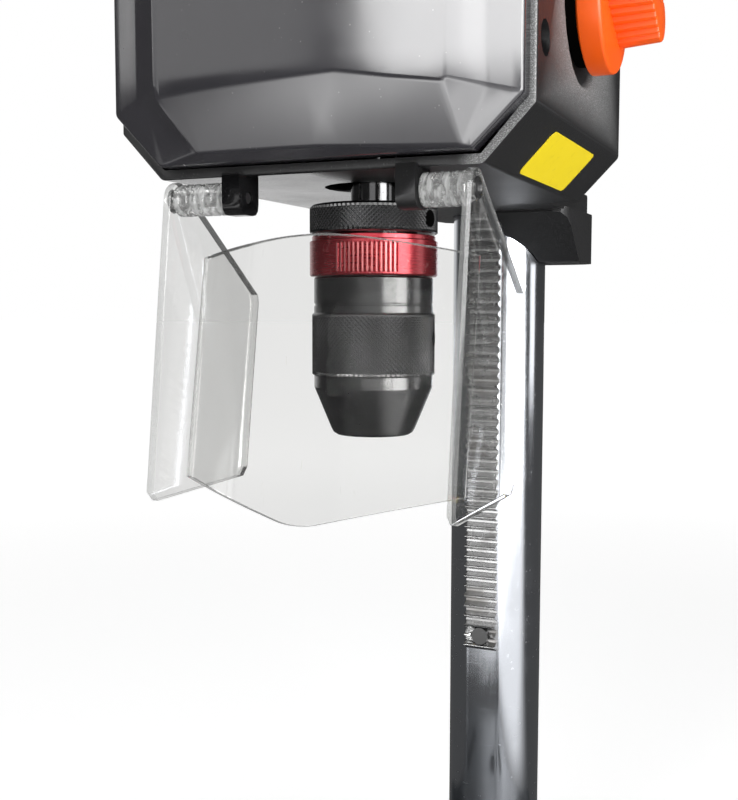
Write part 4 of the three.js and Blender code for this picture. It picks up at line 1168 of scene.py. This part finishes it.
@dataclass
class Guard:
    """The clear guard: two side plates with ribbed studs, a bowed sheet and two pivot screws."""

    shift: float = -1.5
    inner: float = 50.4
    plate: float = 3.0
    ear: float = 6.0
    ear_hole: float = 3.9
    ear_start: float = 44.0
    ear_turn: float = 136.0
    ear_steps: int = 12
    tilt: float = 9.6
    sheet: float = 2.0
    bow: float = 13.0
    lug_left: float = -32.9
    lug_right: float = 34.8
    pin_past: float = 6.6
    pin: float = 1.8
    pin_head: tuple[Point, ...] = ((1.8, 1.2), (3.4, 1.2), (3.4, -0.2), (2.3, -0.4), (2.1, 0.6), (0, 0.6))
    stud_ribs: int = 6
    stud_bore: float = 2.3
    stud_ends: Span = (5.0, 4.7)
    stud_steps: tuple[Point, ...] = ((5.3, 0.15), (5.3, 0.6), (4.7, 0.75), (4.7, 0.95))
    side_foot: tuple[Point, ...] = ((-60, -102), (-57, -105.3), (-2, -104.5), (1, -101.5), (10.5, -40),
                                    (10, -37))
    sheet_behind: float = 16.5
    sheet_gap: float = 0.3
    sheet_left: Span = (-18.3, -94.0)
    sheet_right: Span = (-94.5, -19.2)
    sheet_point: Point = (-1.0, -108.0)
    sheet_arch: tuple[Point, ...] = ((8, -14.2), (-10, -14.2))
    sheet_bends: tuple[tuple[int, float], ...] = ((2, 7.0), (5, 8.0), (6, 8.0))
    strip: float = 2.05
    strips: int = 49

    def outline(self) -> list[Point]:
        """A side plate's outline, with its round ear about the pivot.

        Returns:
            Its points as (Y, Z).
        """
        y, z = PIVOT
        points = [(SPINDLE_Y + along, up(rise)) for along, rise in self.side_foot]
        for i in range(self.ear_steps + 1):
            angle = math.radians(self.ear_start + self.ear_turn * i / self.ear_steps)
            points.append((y + self.ear * math.cos(angle), z + self.ear * math.sin(angle)))
        return points

    def side(self, name: str, side: int) -> None:
        """One side plate with its ribbed stud.

        Args:
            name: left or right.
            side: -1 for the left and 1 for the right.
        """
        near = self.shift + side * self.inner
        far = near + side * self.plate
        span = (min(near, far), max(near, far))
        lug = self.lug_right if side > 0 else self.lug_left
        length = abs(near - lug)
        pitch = length / self.stud_ribs
        ribs = [(radius, (i + share) * pitch)
                for i in range(self.stud_ribs) for radius, share in self.stud_steps]
        root, tip = self.stud_ends
        profile = [(self.stud_bore, 0), (root, 0), *ribs, (tip, length), (self.stud_bore, length)]
        stud = Form.turned(profile, 48, Axis.X, (min(lug, near), *PIVOT))
        stud.piece(f"guard_stud_{name}", Finish.STUD, Seat("guard", "clear_guard"))
        plate = Form.prism(self.outline(), span, Axis.X, holes=[(PIVOT, self.ear_hole)]).soften(0.45, 2, 50.0)
        middle = (near + far) / 2

        def on_edge(face: bmesh.types.BMFace) -> bool:
            """Whether a face is part of the plate's narrow edge."""
            return abs(face.calc_center_median().x / MILLIMETRE - middle) < self.plate / 2 - 0.1

        seat = Seat("guard", "clear_guard", (f"guard_side_{name}",))
        plate.piece(f"guard_plate_{name}", Finish.CLEAR, seat, second=Finish.CLEAR_EDGE, where=on_edge)

    def front(self) -> None:
        """The bowed sheet between the plates, its top edge arched and its foot drawn to a soft point."""
        half = self.inner - self.sheet_gap
        radius = (half ** 2 + self.bow ** 2) / (2 * self.bow)
        outline = [*((-half, rise) for rise in self.sheet_left), self.sheet_point,
                   *((half, rise) for rise in self.sheet_right), *self.sheet_arch]
        form = Form()
        verts = [form.mesh.verts.new((x, 0, z)) for x, z in outline]
        form.mesh.faces.new(verts)
        for number, reach in self.sheet_bends:
            form.rounded([verts[number]], reach, 8)
        form.scored([(((i - self.strips // 2) * self.strip, 0, 0), X_WAY) for i in range(self.strips)])
        centre = radius - self.bow
        for vert in form.mesh.verts:
            vert.co.y = centre - math.sqrt(radius ** 2 - vert.co.x ** 2)
        grown = bmesh.ops.extrude_face_region(form.mesh, geom=form.mesh.faces[:], use_keep_orig=True)
        for vert in verts_among(grown["geom"]):
            near = Vector((vert.co.x, vert.co.y - centre)).normalized() * (radius - self.sheet)
            vert.co.x, vert.co.y = near.x, near.y + centre
        form.face_out().soften(0.3, 2, 55.0)
        place = Matrix.Translation((self.shift, PIVOT[0] + self.sheet_behind, PIVOT[1]))
        form.moved(place @ Matrix.Rotation(math.radians(-self.tilt), 4, "X"))

        def on_edge(face: bmesh.types.BMFace) -> bool:
            """Whether a face is part of the sheet's narrow edge."""
            turned = Matrix.Rotation(math.radians(self.tilt), 3, "X") @ face.normal
            return abs(turned.z) > 0.35 or face.calc_area() < 0.4 * MILLIMETRE ** 2 or abs(turned.x) > 0.8

        form.piece("guard_front", Finish.SHEET, Seat("guard", "clear_guard", ("guard_sheet",)), 40.0,
                   second=Finish.CLEAR_EDGE, where=on_edge)

    def screw(self, name: str, side: int) -> None:
        """A pivot screw with a round socket in its head.

        Args:
            name: left or right.
            side: -1 for the left and 1 for the right.
        """
        start = (self.lug_right if side > 0 else self.lug_left) - side * self.pin_past
        head = self.shift + side * (self.inner + self.plate)
        length = abs(head - start)
        depths = [(0, length), (self.pin, length), *self.pin_head]
        points = [(radius, -side * depth) for radius, depth in depths]
        form = Form.turned(points, 32, Axis.X, (head, *PIVOT))
        form.piece(f"pivot_screw_{name}", Finish.SCREW, Seat("head", "black_screw", (f"guard_pin_{name}",)))

    def build(self) -> None:
        """Builds every piece."""
        for name, side in (("left", -1), ("right", 1)):
            self.side(name, side)
            self.screw(name, side)
        self.front()


# Head casing, cover, switch and sticker

@dataclass
class Head:
    """The head: casing, bowed front cover, switch, sticker and cable gland.

    The cover's outlines are given by their lower points from left to right, as (across, rise, further back).
    """

    high: float = 69.3
    top: float = 246.5
    crown: float = 22.0
    bow: float = 2.6
    bow_half: float = 50.0
    wall: float = 2.6
    back: float = -45.8
    edge: float = -52.0
    step: float = -55.4
    face: float = -61.0
    strip: int = 4
    strips_reach: int = 66
    crease_rise: float = 31.0
    brim: float = -58.0
    rim: tuple[Place, ...] = ((-69.3, 20.8, 0), (-52, 3.4, 0), (0, 3.4, 0), (34, 3.4, 0), (54, 3.4, 0),
                              (69.3, 18.3, 0))
    sill: tuple[Place, ...] = ((-57.9, 24.5, 0), (-35.7, 6.5, 0), (6, 6.2, 0), (33, 5.1, 1.3),
                               (51.5, 4.6, 2.2), (60, 20.2, 0.2))
    crease: tuple[Place, ...] = ((-47.7, 27, 0), (-46.5, 23.6, 0.7), (16, 26.2, 0), (33, 23.4, 0),
                                 (48, 21.2, 0), (49.3, 22, 0))
    opening: Span = (150.0, 212.0)
    opening_half: float = 24.0
    opening_floor: float = -57.6
    recess: float = 27.0
    recess_edge: float = 0.7
    button: tuple[Point, ...] = ((0, 12.6), (4.9, 12.6), (4.9, -0.4), (9, -0.4), (9, -3.0), (8.2, -3.6),
                                 (6.4, -3.5), (5.4, -3.0), (0, -2.8))
    button_back: float = 1.6
    start_rise: float = 194.0
    stop_rise: float = 168.0
    chamfer: tuple[Point, Point] = ((55.5, 0.0), (71.3, 16.5))
    sticker_size: Point = (17.2, 58.0)
    sticker_behind: float = 17.0
    sticker_down: float = 1.3

    def ring(self, form: Form, back: float, inset: float, feet: Sequence[Place]) -> list[bmesh.types.BMEdge]:
        """Draws one outline of the cover.

        Args:
            form: The form that it is drawn in.
            back: Its distance behind the spindle.
            inset: How far its sides and top lie inside the rim's.
            feet: Its lower points.

        Returns:
            The outline's edges.
        """
        top, high = self.top - inset, self.high - inset
        shoulder, flat = top - self.crown, high - self.crown
        points = [(x, rise, back + further) for x, rise, further in feet]
        points += [(high, shoulder, back), (flat, top, back), (-flat, top, back), (-high, shoulder, back)]
        return form.loop([(x, SPINDLE_Y + y, up(rise)) for x, rise, y in points])

    def skin(self) -> Form:
        """The cover's outside with softened creases.

        Returns:
            An open shell.
        """
        form = Form()
        rings = [self.ring(form, self.back, 0, self.rim), self.ring(form, self.edge, 0, self.rim),
                 self.ring(form, self.step, 11, self.sill), self.ring(form, self.face, 20, self.crease)]
        for near, far in zip(rings, rings[1:]):
            bmesh.ops.bridge_loops(form.mesh, edges=near + far)
        form.mesh.faces.new([edge.verts[0] for edge in rings[-1]])
        form.face_out()
        front = min(form.mesh.faces, key=lambda face: face.calc_center_median().y)
        if front.normal.y > 0:
            bmesh.ops.reverse_faces(form.mesh, faces=form.mesh.faces[:])
        return form.soften(1.1, 4, 5.0)

    def bowed(self, form: Form) -> None:
        """Bows the cover's face outwards, in narrow strips.

        Args:
            form: The cover.
        """
        low, high = self.opening
        strips = range(-self.strips_reach, self.strips_reach + 1, self.strip)
        form.scored([((x, 0, 0), X_WAY) for x in strips])
        form.scored([((side * self.opening_half, 0, 0), X_WAY) for side in (-1, 1)])
        form.scored([((0, 0, up(rise)), Z_WAY) for rise in (self.crease_rise, low, high)])
        for vert in form.mesh.verts:
            out = min(1.0, max(0.0, (SPINDLE_Y + self.edge - vert.co.y) / (self.edge - self.face)))
            vert.co.y -= self.bow * max(0.0, 1 - (vert.co.x / self.bow_half) ** 2) * out

    def opened(self, form: Form) -> None:
        """Sinks the opening for the switch plate into the face.

        Args:
            form: The cover.
        """
        low, high = (up(rise) for rise in self.opening)
        inside = [face for face in form.mesh.faces
                  if abs(face.calc_center_median().x - HEAD_SHIFT) < self.opening_half
                  and low < face.calc_center_median().z < high and face.normal.y < -0.5]
        bmesh.ops.delete(form.mesh, geom=inside, context="FACES")
        brim = [edge for edge in form.mesh.edges
                if edge.is_boundary and edge.verts[0].co.y < SPINDLE_Y + self.brim]
        grown = bmesh.ops.extrude_edge_only(form.mesh, edges=brim)
        for vert in verts_among(grown["geom"]):
            vert.co.y = SPINDLE_Y + self.opening_floor

    def cover(self) -> None:
        """The moulded front cover with its broad bevels, slight bow and switch opening."""
        form = self.skin()
        self.bowed(form)
        form.moved(Matrix.Translation((HEAD_SHIFT, 0, 0)))
        self.opened(form)
        made = form.piece("cover", Finish.COVER, Seat("head", "cover_plastic", ("front_cover",)), 28.0)
        shell = made.modifiers.new("wall", "SOLIDIFY")
        shell.thickness = self.wall * MILLIMETRE
        shell.offset = -1.0
        shell.use_even_offset = True

    def casing(self) -> None:
        """The textured casing behind the cover: long corners rounded, the knob recess's rim marked for a
        painted highlight line.
        """
        form = Form.copied("head_casing")
        form.soften(1.3, 3, 25.0, lambda edge: edge.calc_length() > 30)
        form.soften(0.35, 1, 60.0, lambda edge: 1.2 < edge.calc_length() < 30)
        # Marks the knob recess's rim, which the finish paints pale as a highlight line
        worn = form.mesh.verts.layers.float.new(WEAR_AND_HIGHLIGHT)
        for vert in form.mesh.verts:
            away = math.hypot(vert.co.y - KNOB_CENTRE[0], vert.co.z - KNOB_CENTRE[1])
            if abs(away - self.recess) < self.recess_edge and vert.co.x > CASE_RIGHT - self.recess_edge:
                vert[worn] = 1.0
        form.piece("casing", Finish.CASING, Seat("head", "casing_plastic", ("head_casing",)), even=True)

    def switch(self) -> None:
        """The switch plate and its two buttons with rounded faces."""
        Form.copied("switch_plate").soften(0.5, 2, 60.0).piece(
            "switch_face", Finish.BLACK, Seat("head", "black_plastic", ("switch_plate",)))
        plate_front = SPINDLE_Y + self.face - self.button_back
        for name, rise, finish, slot in (("start_button", self.start_rise, Finish.START, "start_green"),
                                         ("stop_button", self.stop_rise, Finish.STOP, "stop_red")):
            form = Form.turned(self.button, 64, Axis.Y, (HEAD_SHIFT, plate_front, up(rise)), soft=0.25)
            form.piece(f"{name}_cap", finish, Seat(name, slot, (name,)))
        dress(["switch_block"], Finish.BLACK)

    def sticker(self) -> None:
        """A plain yellow sticker on the right lower chamfer."""
        (near, low), (far, high) = self.chamfer
        slope = math.atan2(high - low, far - near)
        wide, long = self.sticker_size[0] / 2, self.sticker_size[1] / 2
        form = Form.prism([(-wide, -long), (wide, -long), (wide, long), (-wide, long)], (0.02, 0.2),
                          corner=2.4, steps=6)
        form.soften(0.08, 1, 60.0)
        middle = ((near + far) / 2 + HEAD_SHIFT - self.sticker_down * math.cos(slope),
                  SPINDLE_Y + self.sticker_behind, up((low + high) / 2 - self.sticker_down * math.sin(slope)))
        turn = Matrix.Rotation(-slope, 4, "Y") @ Matrix.Rotation(math.pi, 4, "X")
        form.moved(Matrix.Translation(middle) @ turn)
        form.piece("sticker", Finish.STICKER, Seat("head", "casing_plastic"))

    def gland(self) -> None:
        """The cable gland in the rear wall, with its edges broken."""
        Form.copied("cable_gland").soften(0.5, 2, 50.0, lambda edge: edge.calc_length() > 1.5).piece(
            "gland", Finish.RUBBER, Seat("head", "black_plastic", ("cable_gland",)))

    def build(self) -> None:
        """Builds every piece."""
        self.casing()
        self.cover()
        self.switch()
        self.sticker()
        self.gland()


# Selector knob

@dataclass
class Selector:
    """The orange gear selector: a round skirt and a ribbed bar to turn it by."""

    floor: float = CASE_RIGHT - 2.2
    disc: float = 23.0
    disc_back: float = CASE_RIGHT + 2.7
    disc_front: float = CASE_RIGHT + 10.2
    bar_half: float = 11.5
    bar_radius: float = 7.8
    tilt: float = -27.0
    end: float = CASE_RIGHT + 24.0
    ribs: int = 6
    rib_depth: float = 1.1
    taper: float = 0.93
    bore: float = 4.3
    bore_end: float = CASE_RIGHT + 9.8

    def slot(self, steps: int = 12) -> list[Place]:
        """The flat outline of the grip, a slot with round ends.

        Args:
            steps: Facets in each end.

        Returns:
            Its points.
        """
        points = []
        for end, start in ((1, -90.0), (-1, 90.0)):
            for i in range(steps + 1):
                angle = math.radians(start + 180 * i / steps)
                points.append((end * self.bar_half + self.bar_radius * math.cos(angle),
                               self.bar_radius * math.sin(angle), 0.0))
        return points

    def bar(self) -> Form:
        """The grip, its flanks pressed into ribs that run outwards.

        Returns:
            The grip's form.
        """
        form = Form()
        flanks = [edge for edge in form.loop(self.slot()) if edge.calc_length() > self.bar_half]
        cut = bmesh.ops.subdivide_edges(form.mesh, edges=flanks, cuts=4 * self.ribs - 1)
        pitch = 2 * self.bar_half / (4 * self.ribs)
        for vert in verts_among(cut["geom_inner"]):
            step = round((vert.co.x + self.bar_half) / pitch)
            if step % 4 in (0, 3):
                vert.co.y *= 1 - self.rib_depth / self.bar_radius
        form.moved(Matrix.Translation((*KNOB_CENTRE, 0)) @ Matrix.Rotation(math.radians(self.tilt), 4, "Z"))
        form.raised((self.disc_front - 1.5, self.end), Axis.X)
        centre = Vector((self.end, *KNOB_CENTRE))
        for vert in form.mesh.verts:
            if vert.co.x > self.end - 0.01:
                vert.co = centre + (vert.co - centre) * self.taper
        return form.soften(1.2, 3, 50.0, lambda edge: all(vert.co.x > self.end - 0.01 for vert in edge.verts))

    def build(self) -> None:
        """Builds the knob and dresses its shaft."""
        floor, back, front = self.floor + 0.3, self.disc_back, self.disc_front
        profile = [(self.bore, floor), (self.disc - 3, floor), (self.disc - 3, back - 1), (self.disc, back),
                   (self.disc, front - 0.8), (self.disc - 0.8, front), (0, front), (0, self.bore_end),
                   (self.bore, self.bore_end)]
        skirt = Form.turned(profile, 96, Axis.X, (0, *KNOB_CENTRE), soft=0.4)

        def in_shaded_gap(face: bmesh.types.BMFace) -> bool:
            """Whether a face lies in the gap between the casing and the skirt, where it takes painted shade.
            """
            return face.calc_center_median().x < (back - 0.9) * MILLIMETRE

        seat = Seat("selector", "orange_plastic", ("selector_knob",))
        # Faces in that gap take the near-black finish as painted shade
        skirt.joined(self.bar()).piece("knob", Finish.KNOB, seat, second=Finish.PIT, where=in_shaded_gap)
        dress(["selector_shaft", "fork_rod"], Finish.BRIGHT)
        dress(["shift_fork"], Finish.BLACK)


# Column sleeve, clamp and feed

@dataclass
class Sleeve:
    """The casting that slides on the column, with its clamp."""

    corner: float = 0.9
    long_edge: float = 9.0
    lever_corner: float = 0.5

    def build(self) -> None:
        """Builds every piece."""
        form = Form.copied("column_sleeve")
        form.soften(self.corner, 2, 35.0, lambda edge: edge.calc_length() > self.long_edge)
        form.piece("sleeve", Finish.SLEEVE, Seat("head", "sleeve_alloy", ("column_sleeve",)), even=True)
        Form.copied("clamp_lever").soften(self.lever_corner, 2, 50.0).piece(
            "clamp_handle", Finish.RUBBER, Seat("clamp_lever", "black_plastic", ("clamp_lever",)), 50.0)
        dress(["clamp_bolt"], Finish.SCREW)
        dress(["feed_bush"], Finish.BRIGHT)


@dataclass
class Feed:
    """The feed wheel: pinion shaft, depth ring, hub, three spokes and their grips."""

    middle: float = 93.25
    reach: float = 104.0
    lean: float = 8.0
    spokes: int = 3
    rod: float = 4.4
    rod_start: float = 18.0
    grip_start: float = 80.0
    grip_neck: tuple[Point, ...] = ((5.0, 0), (6.6, 0), (7.4, 1.4), (8.5, 5))
    grip_end: tuple[Point, ...] = ((10.4, 30), (9.6, 35), (7.4, 39), (4, 41), (0, 41.5), (0, 24.6),
                                   (5.0, 24.6))
    grip_rib: tuple[Point, ...] = ((0, -1.2), (-0.5, -0.5), (-0.5, 0.5), (0.1, 1.2))
    grip_ribs: int = 5
    grip_radius: float = 8.7
    grip_swell: float = 0.4
    rib_start: float = 8.0
    rib_pitch: float = 4.2
    ring_start: float = 79.3
    ring_radius: float = 26.0
    ring_bore: float = 6.3
    ring_width: float = 6.0
    ticks: int = 60
    tick_group: int = 5
    tick_lengths: Span = (3.0, 1.7)
    tick_size: Span = (0.35, 0.12)
    tick_inset: float = 0.4
    tick_sunk: float = 0.04

    def aimed(self, form: Form, number: int) -> Form:
        """Turns a form made along +Y from the hub's middle onto one spoke's line.

        Args:
            form: The form.
            number: The spoke's number, from 0.

        Returns:
            The form itself.
        """
        angle = math.pi / 2 + 2 * math.pi * number / self.spokes
        turn = Matrix.Rotation(angle, 4, "X") @ Matrix.Rotation(math.radians(-self.lean), 4, "Z")
        return form.moved(Matrix.Translation((self.middle, *PINION)) @ turn)

    def spoke(self, number: int) -> None:
        """Makes one bright rod.

        Args:
            number: Its number, from 0.
        """
        rod, thin, start, end = self.rod, self.rod - 0.3, self.rod_start, self.reach
        form = Form.turned([(0, start), (thin, start), (rod, start + 0.6), (rod, end - 0.6), (thin, end),
                            (0, end)], 40, Axis.Y)
        seat = Seat("feed", "spoke_steel", (f"feed_spoke_{number + 1}",))
        self.aimed(form, number).piece(f"spoke_{number + 1}", Finish.BRIGHT, seat)

    def grip(self, number: int) -> None:
        """Makes one moulded grip, which swells outwards in ribs.

        Args:
            number: Its number, from 0.
        """
        ribs = []
        for rib in range(self.grip_ribs):
            radius, start = self.grip_radius + self.grip_swell * rib, self.rib_start + self.rib_pitch * rib
            ribs += [(radius + swell, start + along) for swell, along in self.grip_rib]
        points = (*self.grip_neck, *ribs, *self.grip_end)
        profile = [(radius, self.grip_start + along) for radius, along in points]
        seat = Seat("feed", "black_plastic", (f"feed_grip_{number + 1}",))
        form = Form.turned(profile, 48, Axis.Y)
        self.aimed(form, number).piece(f"grip_{number + 1}", Finish.RUBBER, seat, 40.0)

    def dial(self) -> None:
        """The depth ring and the marks round it, each fifth one longer."""
        start, edge = self.ring_start, self.ring_radius
        bore, end = self.ring_bore, start + self.ring_width
        profile = [(bore, start), (edge - 1, start), (edge, start + 1), (edge, end), (bore, end)]
        ring = Form.turned(profile, 96, Axis.X, (0, *PINION), soft=0.3)
        ring.piece("depth_dial", Finish.BRIGHT, Seat("depth_ring", "ring_steel", ("depth_ring",)))
        marks = Form()
        for tick in range(self.ticks):
            length = self.tick_lengths[tick % self.tick_group > 0]
            turn = Matrix.Translation((0, *PINION)) @ Matrix.Rotation(2 * math.pi * tick / self.ticks, 4, "X")
            place = turn @ Matrix.Translation((end - self.tick_inset - length / 2, 0, edge - self.tick_sunk))
            shape = Matrix.Diagonal((length, *self.tick_size, 1))
            bmesh.ops.create_cube(marks.mesh, size=1.0, matrix=place @ shape)
        marks.piece("dial_marks", Finish.RUBBER, Seat("depth_ring", "ring_steel"))

    def build(self) -> None:
        """Builds every piece."""
        seat = Seat("feed", "black_plastic", ("feed_hub",))
        Form.copied("feed_hub").soften(0.5, 2, 35.0).piece("hub", Finish.BLACK, seat, 40.0)
        for number in range(self.spokes):
            self.spoke(number)
            self.grip(number)
        self.dial()
        dress(["pinion_shaft"], Finish.BRIGHT)


# Base

@dataclass
class Base:
    """The base casting and its set screws."""

    corner: float = 1.2
    long_edge: float = 11.0

    def build(self) -> None:
        """Builds every piece."""
        form = Form.copied("base_plate")
        form.soften(self.corner, 2, 35.0, lambda edge: edge.calc_length() > self.long_edge)
        form.piece("base_casting", Finish.BASE, Seat("base", "base_casting", ("base_plate",)), even=True)
        dress(["column_set_screw_side", "column_set_screw_rear"], Finish.SCREW)


# Parts inside the head

@dataclass
class Drive:
    """Gear train, bearings, motor and board, all carried over from the solids."""

    alloy: tuple[str, ...] = ("gear_plate_lower", "gear_plate_upper", "motor_shield_lower",
                              "motor_shield_upper")
    bright: tuple[str, ...] = ("spindle_bearing_lower", "spindle_bearing_upper", "counter_bearing_lower",
                               "counter_bearing_upper")
    steel: tuple[str, ...] = ("spindle_gear", "countershaft", "counter_gear", "motor_stator")

    def build(self) -> None:
        """Dresses every part."""
        dress(self.alloy, Finish.ALLOY)
        dress(self.bright, Finish.BRIGHT)
        dress(self.steel, Finish.INNER)
        dress(["motor_armature"], Finish.COPPER)
        dress(["motor_fan"], Finish.BLACK)
        dress(["control_board"], Finish.BOARD)


# Studio

class Use(Enum):
    """What a softbox lights: everything, only the shading or only the gloss."""

    ALL = "all"
    SHADING = "shading"
    GLOSS = "gloss"


@dataclass
class Studio:
    """Camera, floor, lamps and the pale room, in metres."""

    eye: Place = (0.1530, -0.5045, 0.3167)
    azimuth: float = 23.63
    pitch: float = 4.62
    roll: float = 0.12
    lens: float = 49.005
    head: Place = (0, -0.15, 0.38)
    floor_half: float = 30.0
    pool: Point = (0.12, -1.04)
    pool_squeeze: float = 0.55

    def camera(self) -> None:
        """The camera at the viewing angle."""
        azimuth, pitch = math.radians(self.azimuth), math.radians(self.pitch)
        right = Vector((math.cos(azimuth), math.sin(azimuth), 0))
        level = Vector((-math.sin(azimuth), math.cos(azimuth), 0))
        ahead = level * math.cos(pitch) - Vector((0, 0, math.sin(pitch)))
        upward = right.cross(ahead)
        turn = Matrix((right, upward, -ahead)).transposed().to_4x4()
        data = bpy.data.cameras.new("camera")
        data.lens = self.lens
        data.sensor_width = 36.0
        data.clip_start = 0.01
        made = linked("camera", data)
        roll = Matrix.Rotation(math.radians(self.roll), 4, "Z")
        made.matrix_world = Matrix.Translation(self.eye) @ turn @ roll
        bpy.context.scene.camera = made

    def image(self, graph: Graph) -> bpy.types.NodeSocket:
        """The bright areas that gloss finds on the floor: a pool in front, a band beside and the far back.

        Args:
            graph: The floor's graph.

        Returns:
            Their light.
        """
        across, along = graph.axis("X") * MILLIMETRE, graph.axis("Y") * MILLIMETRE
        far_back = graph.span(along, 0.9, 1.6) * graph.span(across, -0.75, -1.05)
        sideways = (across - self.pool[0]) * self.pool_squeeze
        forward = along - self.pool[1]
        away = (sideways * sideways + forward * forward) ** 0.5
        pool = graph.span(away, 0.46, 0.18, 0.0, 3.8) + graph.span(away, 0.9, 0.4)
        pool = pool * graph.span(along, -0.42, -0.62)
        beside = graph.span(across, 0.13, 0.26) * graph.span(along, 0.1, -0.1)
        return graph.glow(far_back + pool + beside * 1.1 + 0.08)

    def floor(self) -> None:
        """A plain pale floor that keeps the shadow and is white where nothing shades it."""
        made, graph = new_material("floor")
        seen = graph.ray("Is Camera Ray")
        across, along = graph.axis("X") * MILLIMETRE, graph.axis("Y") * MILLIMETRE
        lift = graph.span((across * across + along * along) ** 0.5, 0.5, 2.0, 0.62, 0.81)
        plain = graph.node("ShaderNodeBsdfDiffuse", {}, {"Color": (0.8, 0.8, 0.8)})
        lifted = graph.glow(seen * lift + (1 - seen) * 0.35)
        both = graph.node("ShaderNodeAddShader", {}, {0: plain.outputs[0], 1: lifted})
        graph.finish(graph.layered(graph.ray("Is Glossy Ray"), both.outputs[0], self.image(graph)))
        mesh = bmesh.new()
        bmesh.ops.create_grid(mesh, x_segments=1, y_segments=1, size=self.floor_half)
        data = bpy.data.meshes.new("floor")
        mesh.to_mesh(data)
        mesh.free()
        data.materials.append(made)
        made_floor = linked("floor", data)

    def lamp(self, name: str, place: Place, size: Point, light: float, use: Use) -> None:
        """A softbox that faces the head.

        Args:
            name: Its name.
            place: Where it stands.
            size: Its width and height.
            light: Its brightness against white paper's 1.
            use: What it lights.
        """
        data = bpy.data.lights.new(name, "AREA")
        data.shape = "RECTANGLE"
        data.size, data.size_y = size
        data.energy = light * math.pi * size[0] * size[1]
        made = linked(name, data)
        made.visible_camera = False
        made.visible_diffuse = use is not Use.GLOSS
        made.visible_glossy = use is not Use.SHADING
        aim = Vector(self.head) - Vector(place)
        made.matrix_world = Matrix.Translation(place) @ aim.to_track_quat("-Z", "Y").to_matrix().to_4x4()

    def room(self) -> None:
        """A white room behind the press and a dimmer one in front of it."""
        world = bpy.data.worlds.new("room")
        bpy.context.scene.world = world
        world.use_nodes = True
        graph = Graph(world.node_tree, "ShaderNodeOutputWorld")
        seen = graph.ray("Is Camera Ray")
        mirrored = graph.ray("Is Glossy Ray").either(graph.ray("Is Transmission Ray"))
        way = graph.node("ShaderNodeSeparateXYZ", {}, {0: graph.coordinates.outputs["Generated"]})
        across, along = Value(graph, way.outputs["X"]), Value(graph, way.outputs["Y"])
        back_left = graph.span(along, 0.3, 0.7) * graph.span(across, -0.28, -0.38)
        soft = mirrored * (back_left * 0.8 + 0.06) + (1 - mirrored) * 0.26
        light = soft * (1 - seen) + seen
        wall = graph.node("ShaderNodeBackground", {}, {"Color": (1, 1, 1), "Strength": light})
        graph.finish(wall.outputs[0])

    def build(self) -> None:
        """Sets up the studio."""
        bpy.context.scene.view_settings.view_transform = "Standard"
        self.camera()
        self.floor()
        self.room()
        self.lamp("key", (-0.1, -1.4, 1.35), (0.6, 0.6), 7.0, Use.SHADING)
        self.lamp("right", (1.16, -0.67, 0.5), (1.1, 0.85), 4.6, Use.SHADING)
        self.lamp("side", (1.9, 0.7, 0.6), (0.6, 1.0), 1.6, Use.ALL)
        self.lamp("left", (-1.5, -0.85, 1.0), (0.35, 0.6), 2.4, Use.ALL)
        self.lamp("front_card", (0.4, -1.42, 0.87), (1.82, 0.56), 9.0, Use.GLOSS)
        self.lamp("dim_card", (-0.95, -1.28, 0.8), (0.85, 0.45), 1.1, Use.GLOSS)
        self.lamp("right_card", (1.16, -0.67, 0.45), (1.1, 0.85), 8.5, Use.GLOSS)


def main() -> None:
    """Builds the press piece by piece, then the studio."""
    logging.basicConfig(level=logging.INFO, format="%(name)s: %(message)s")
    assemblies = (Base(), Column(), Head(), Selector(), Sleeve(), Feed(), Chuck(), Guard(), Drive(), Studio())
    for assembly in assemblies:
        log.info("building %s", type(assembly).__name__)
        assembly.build()


if __name__ == "__main__":
    main()
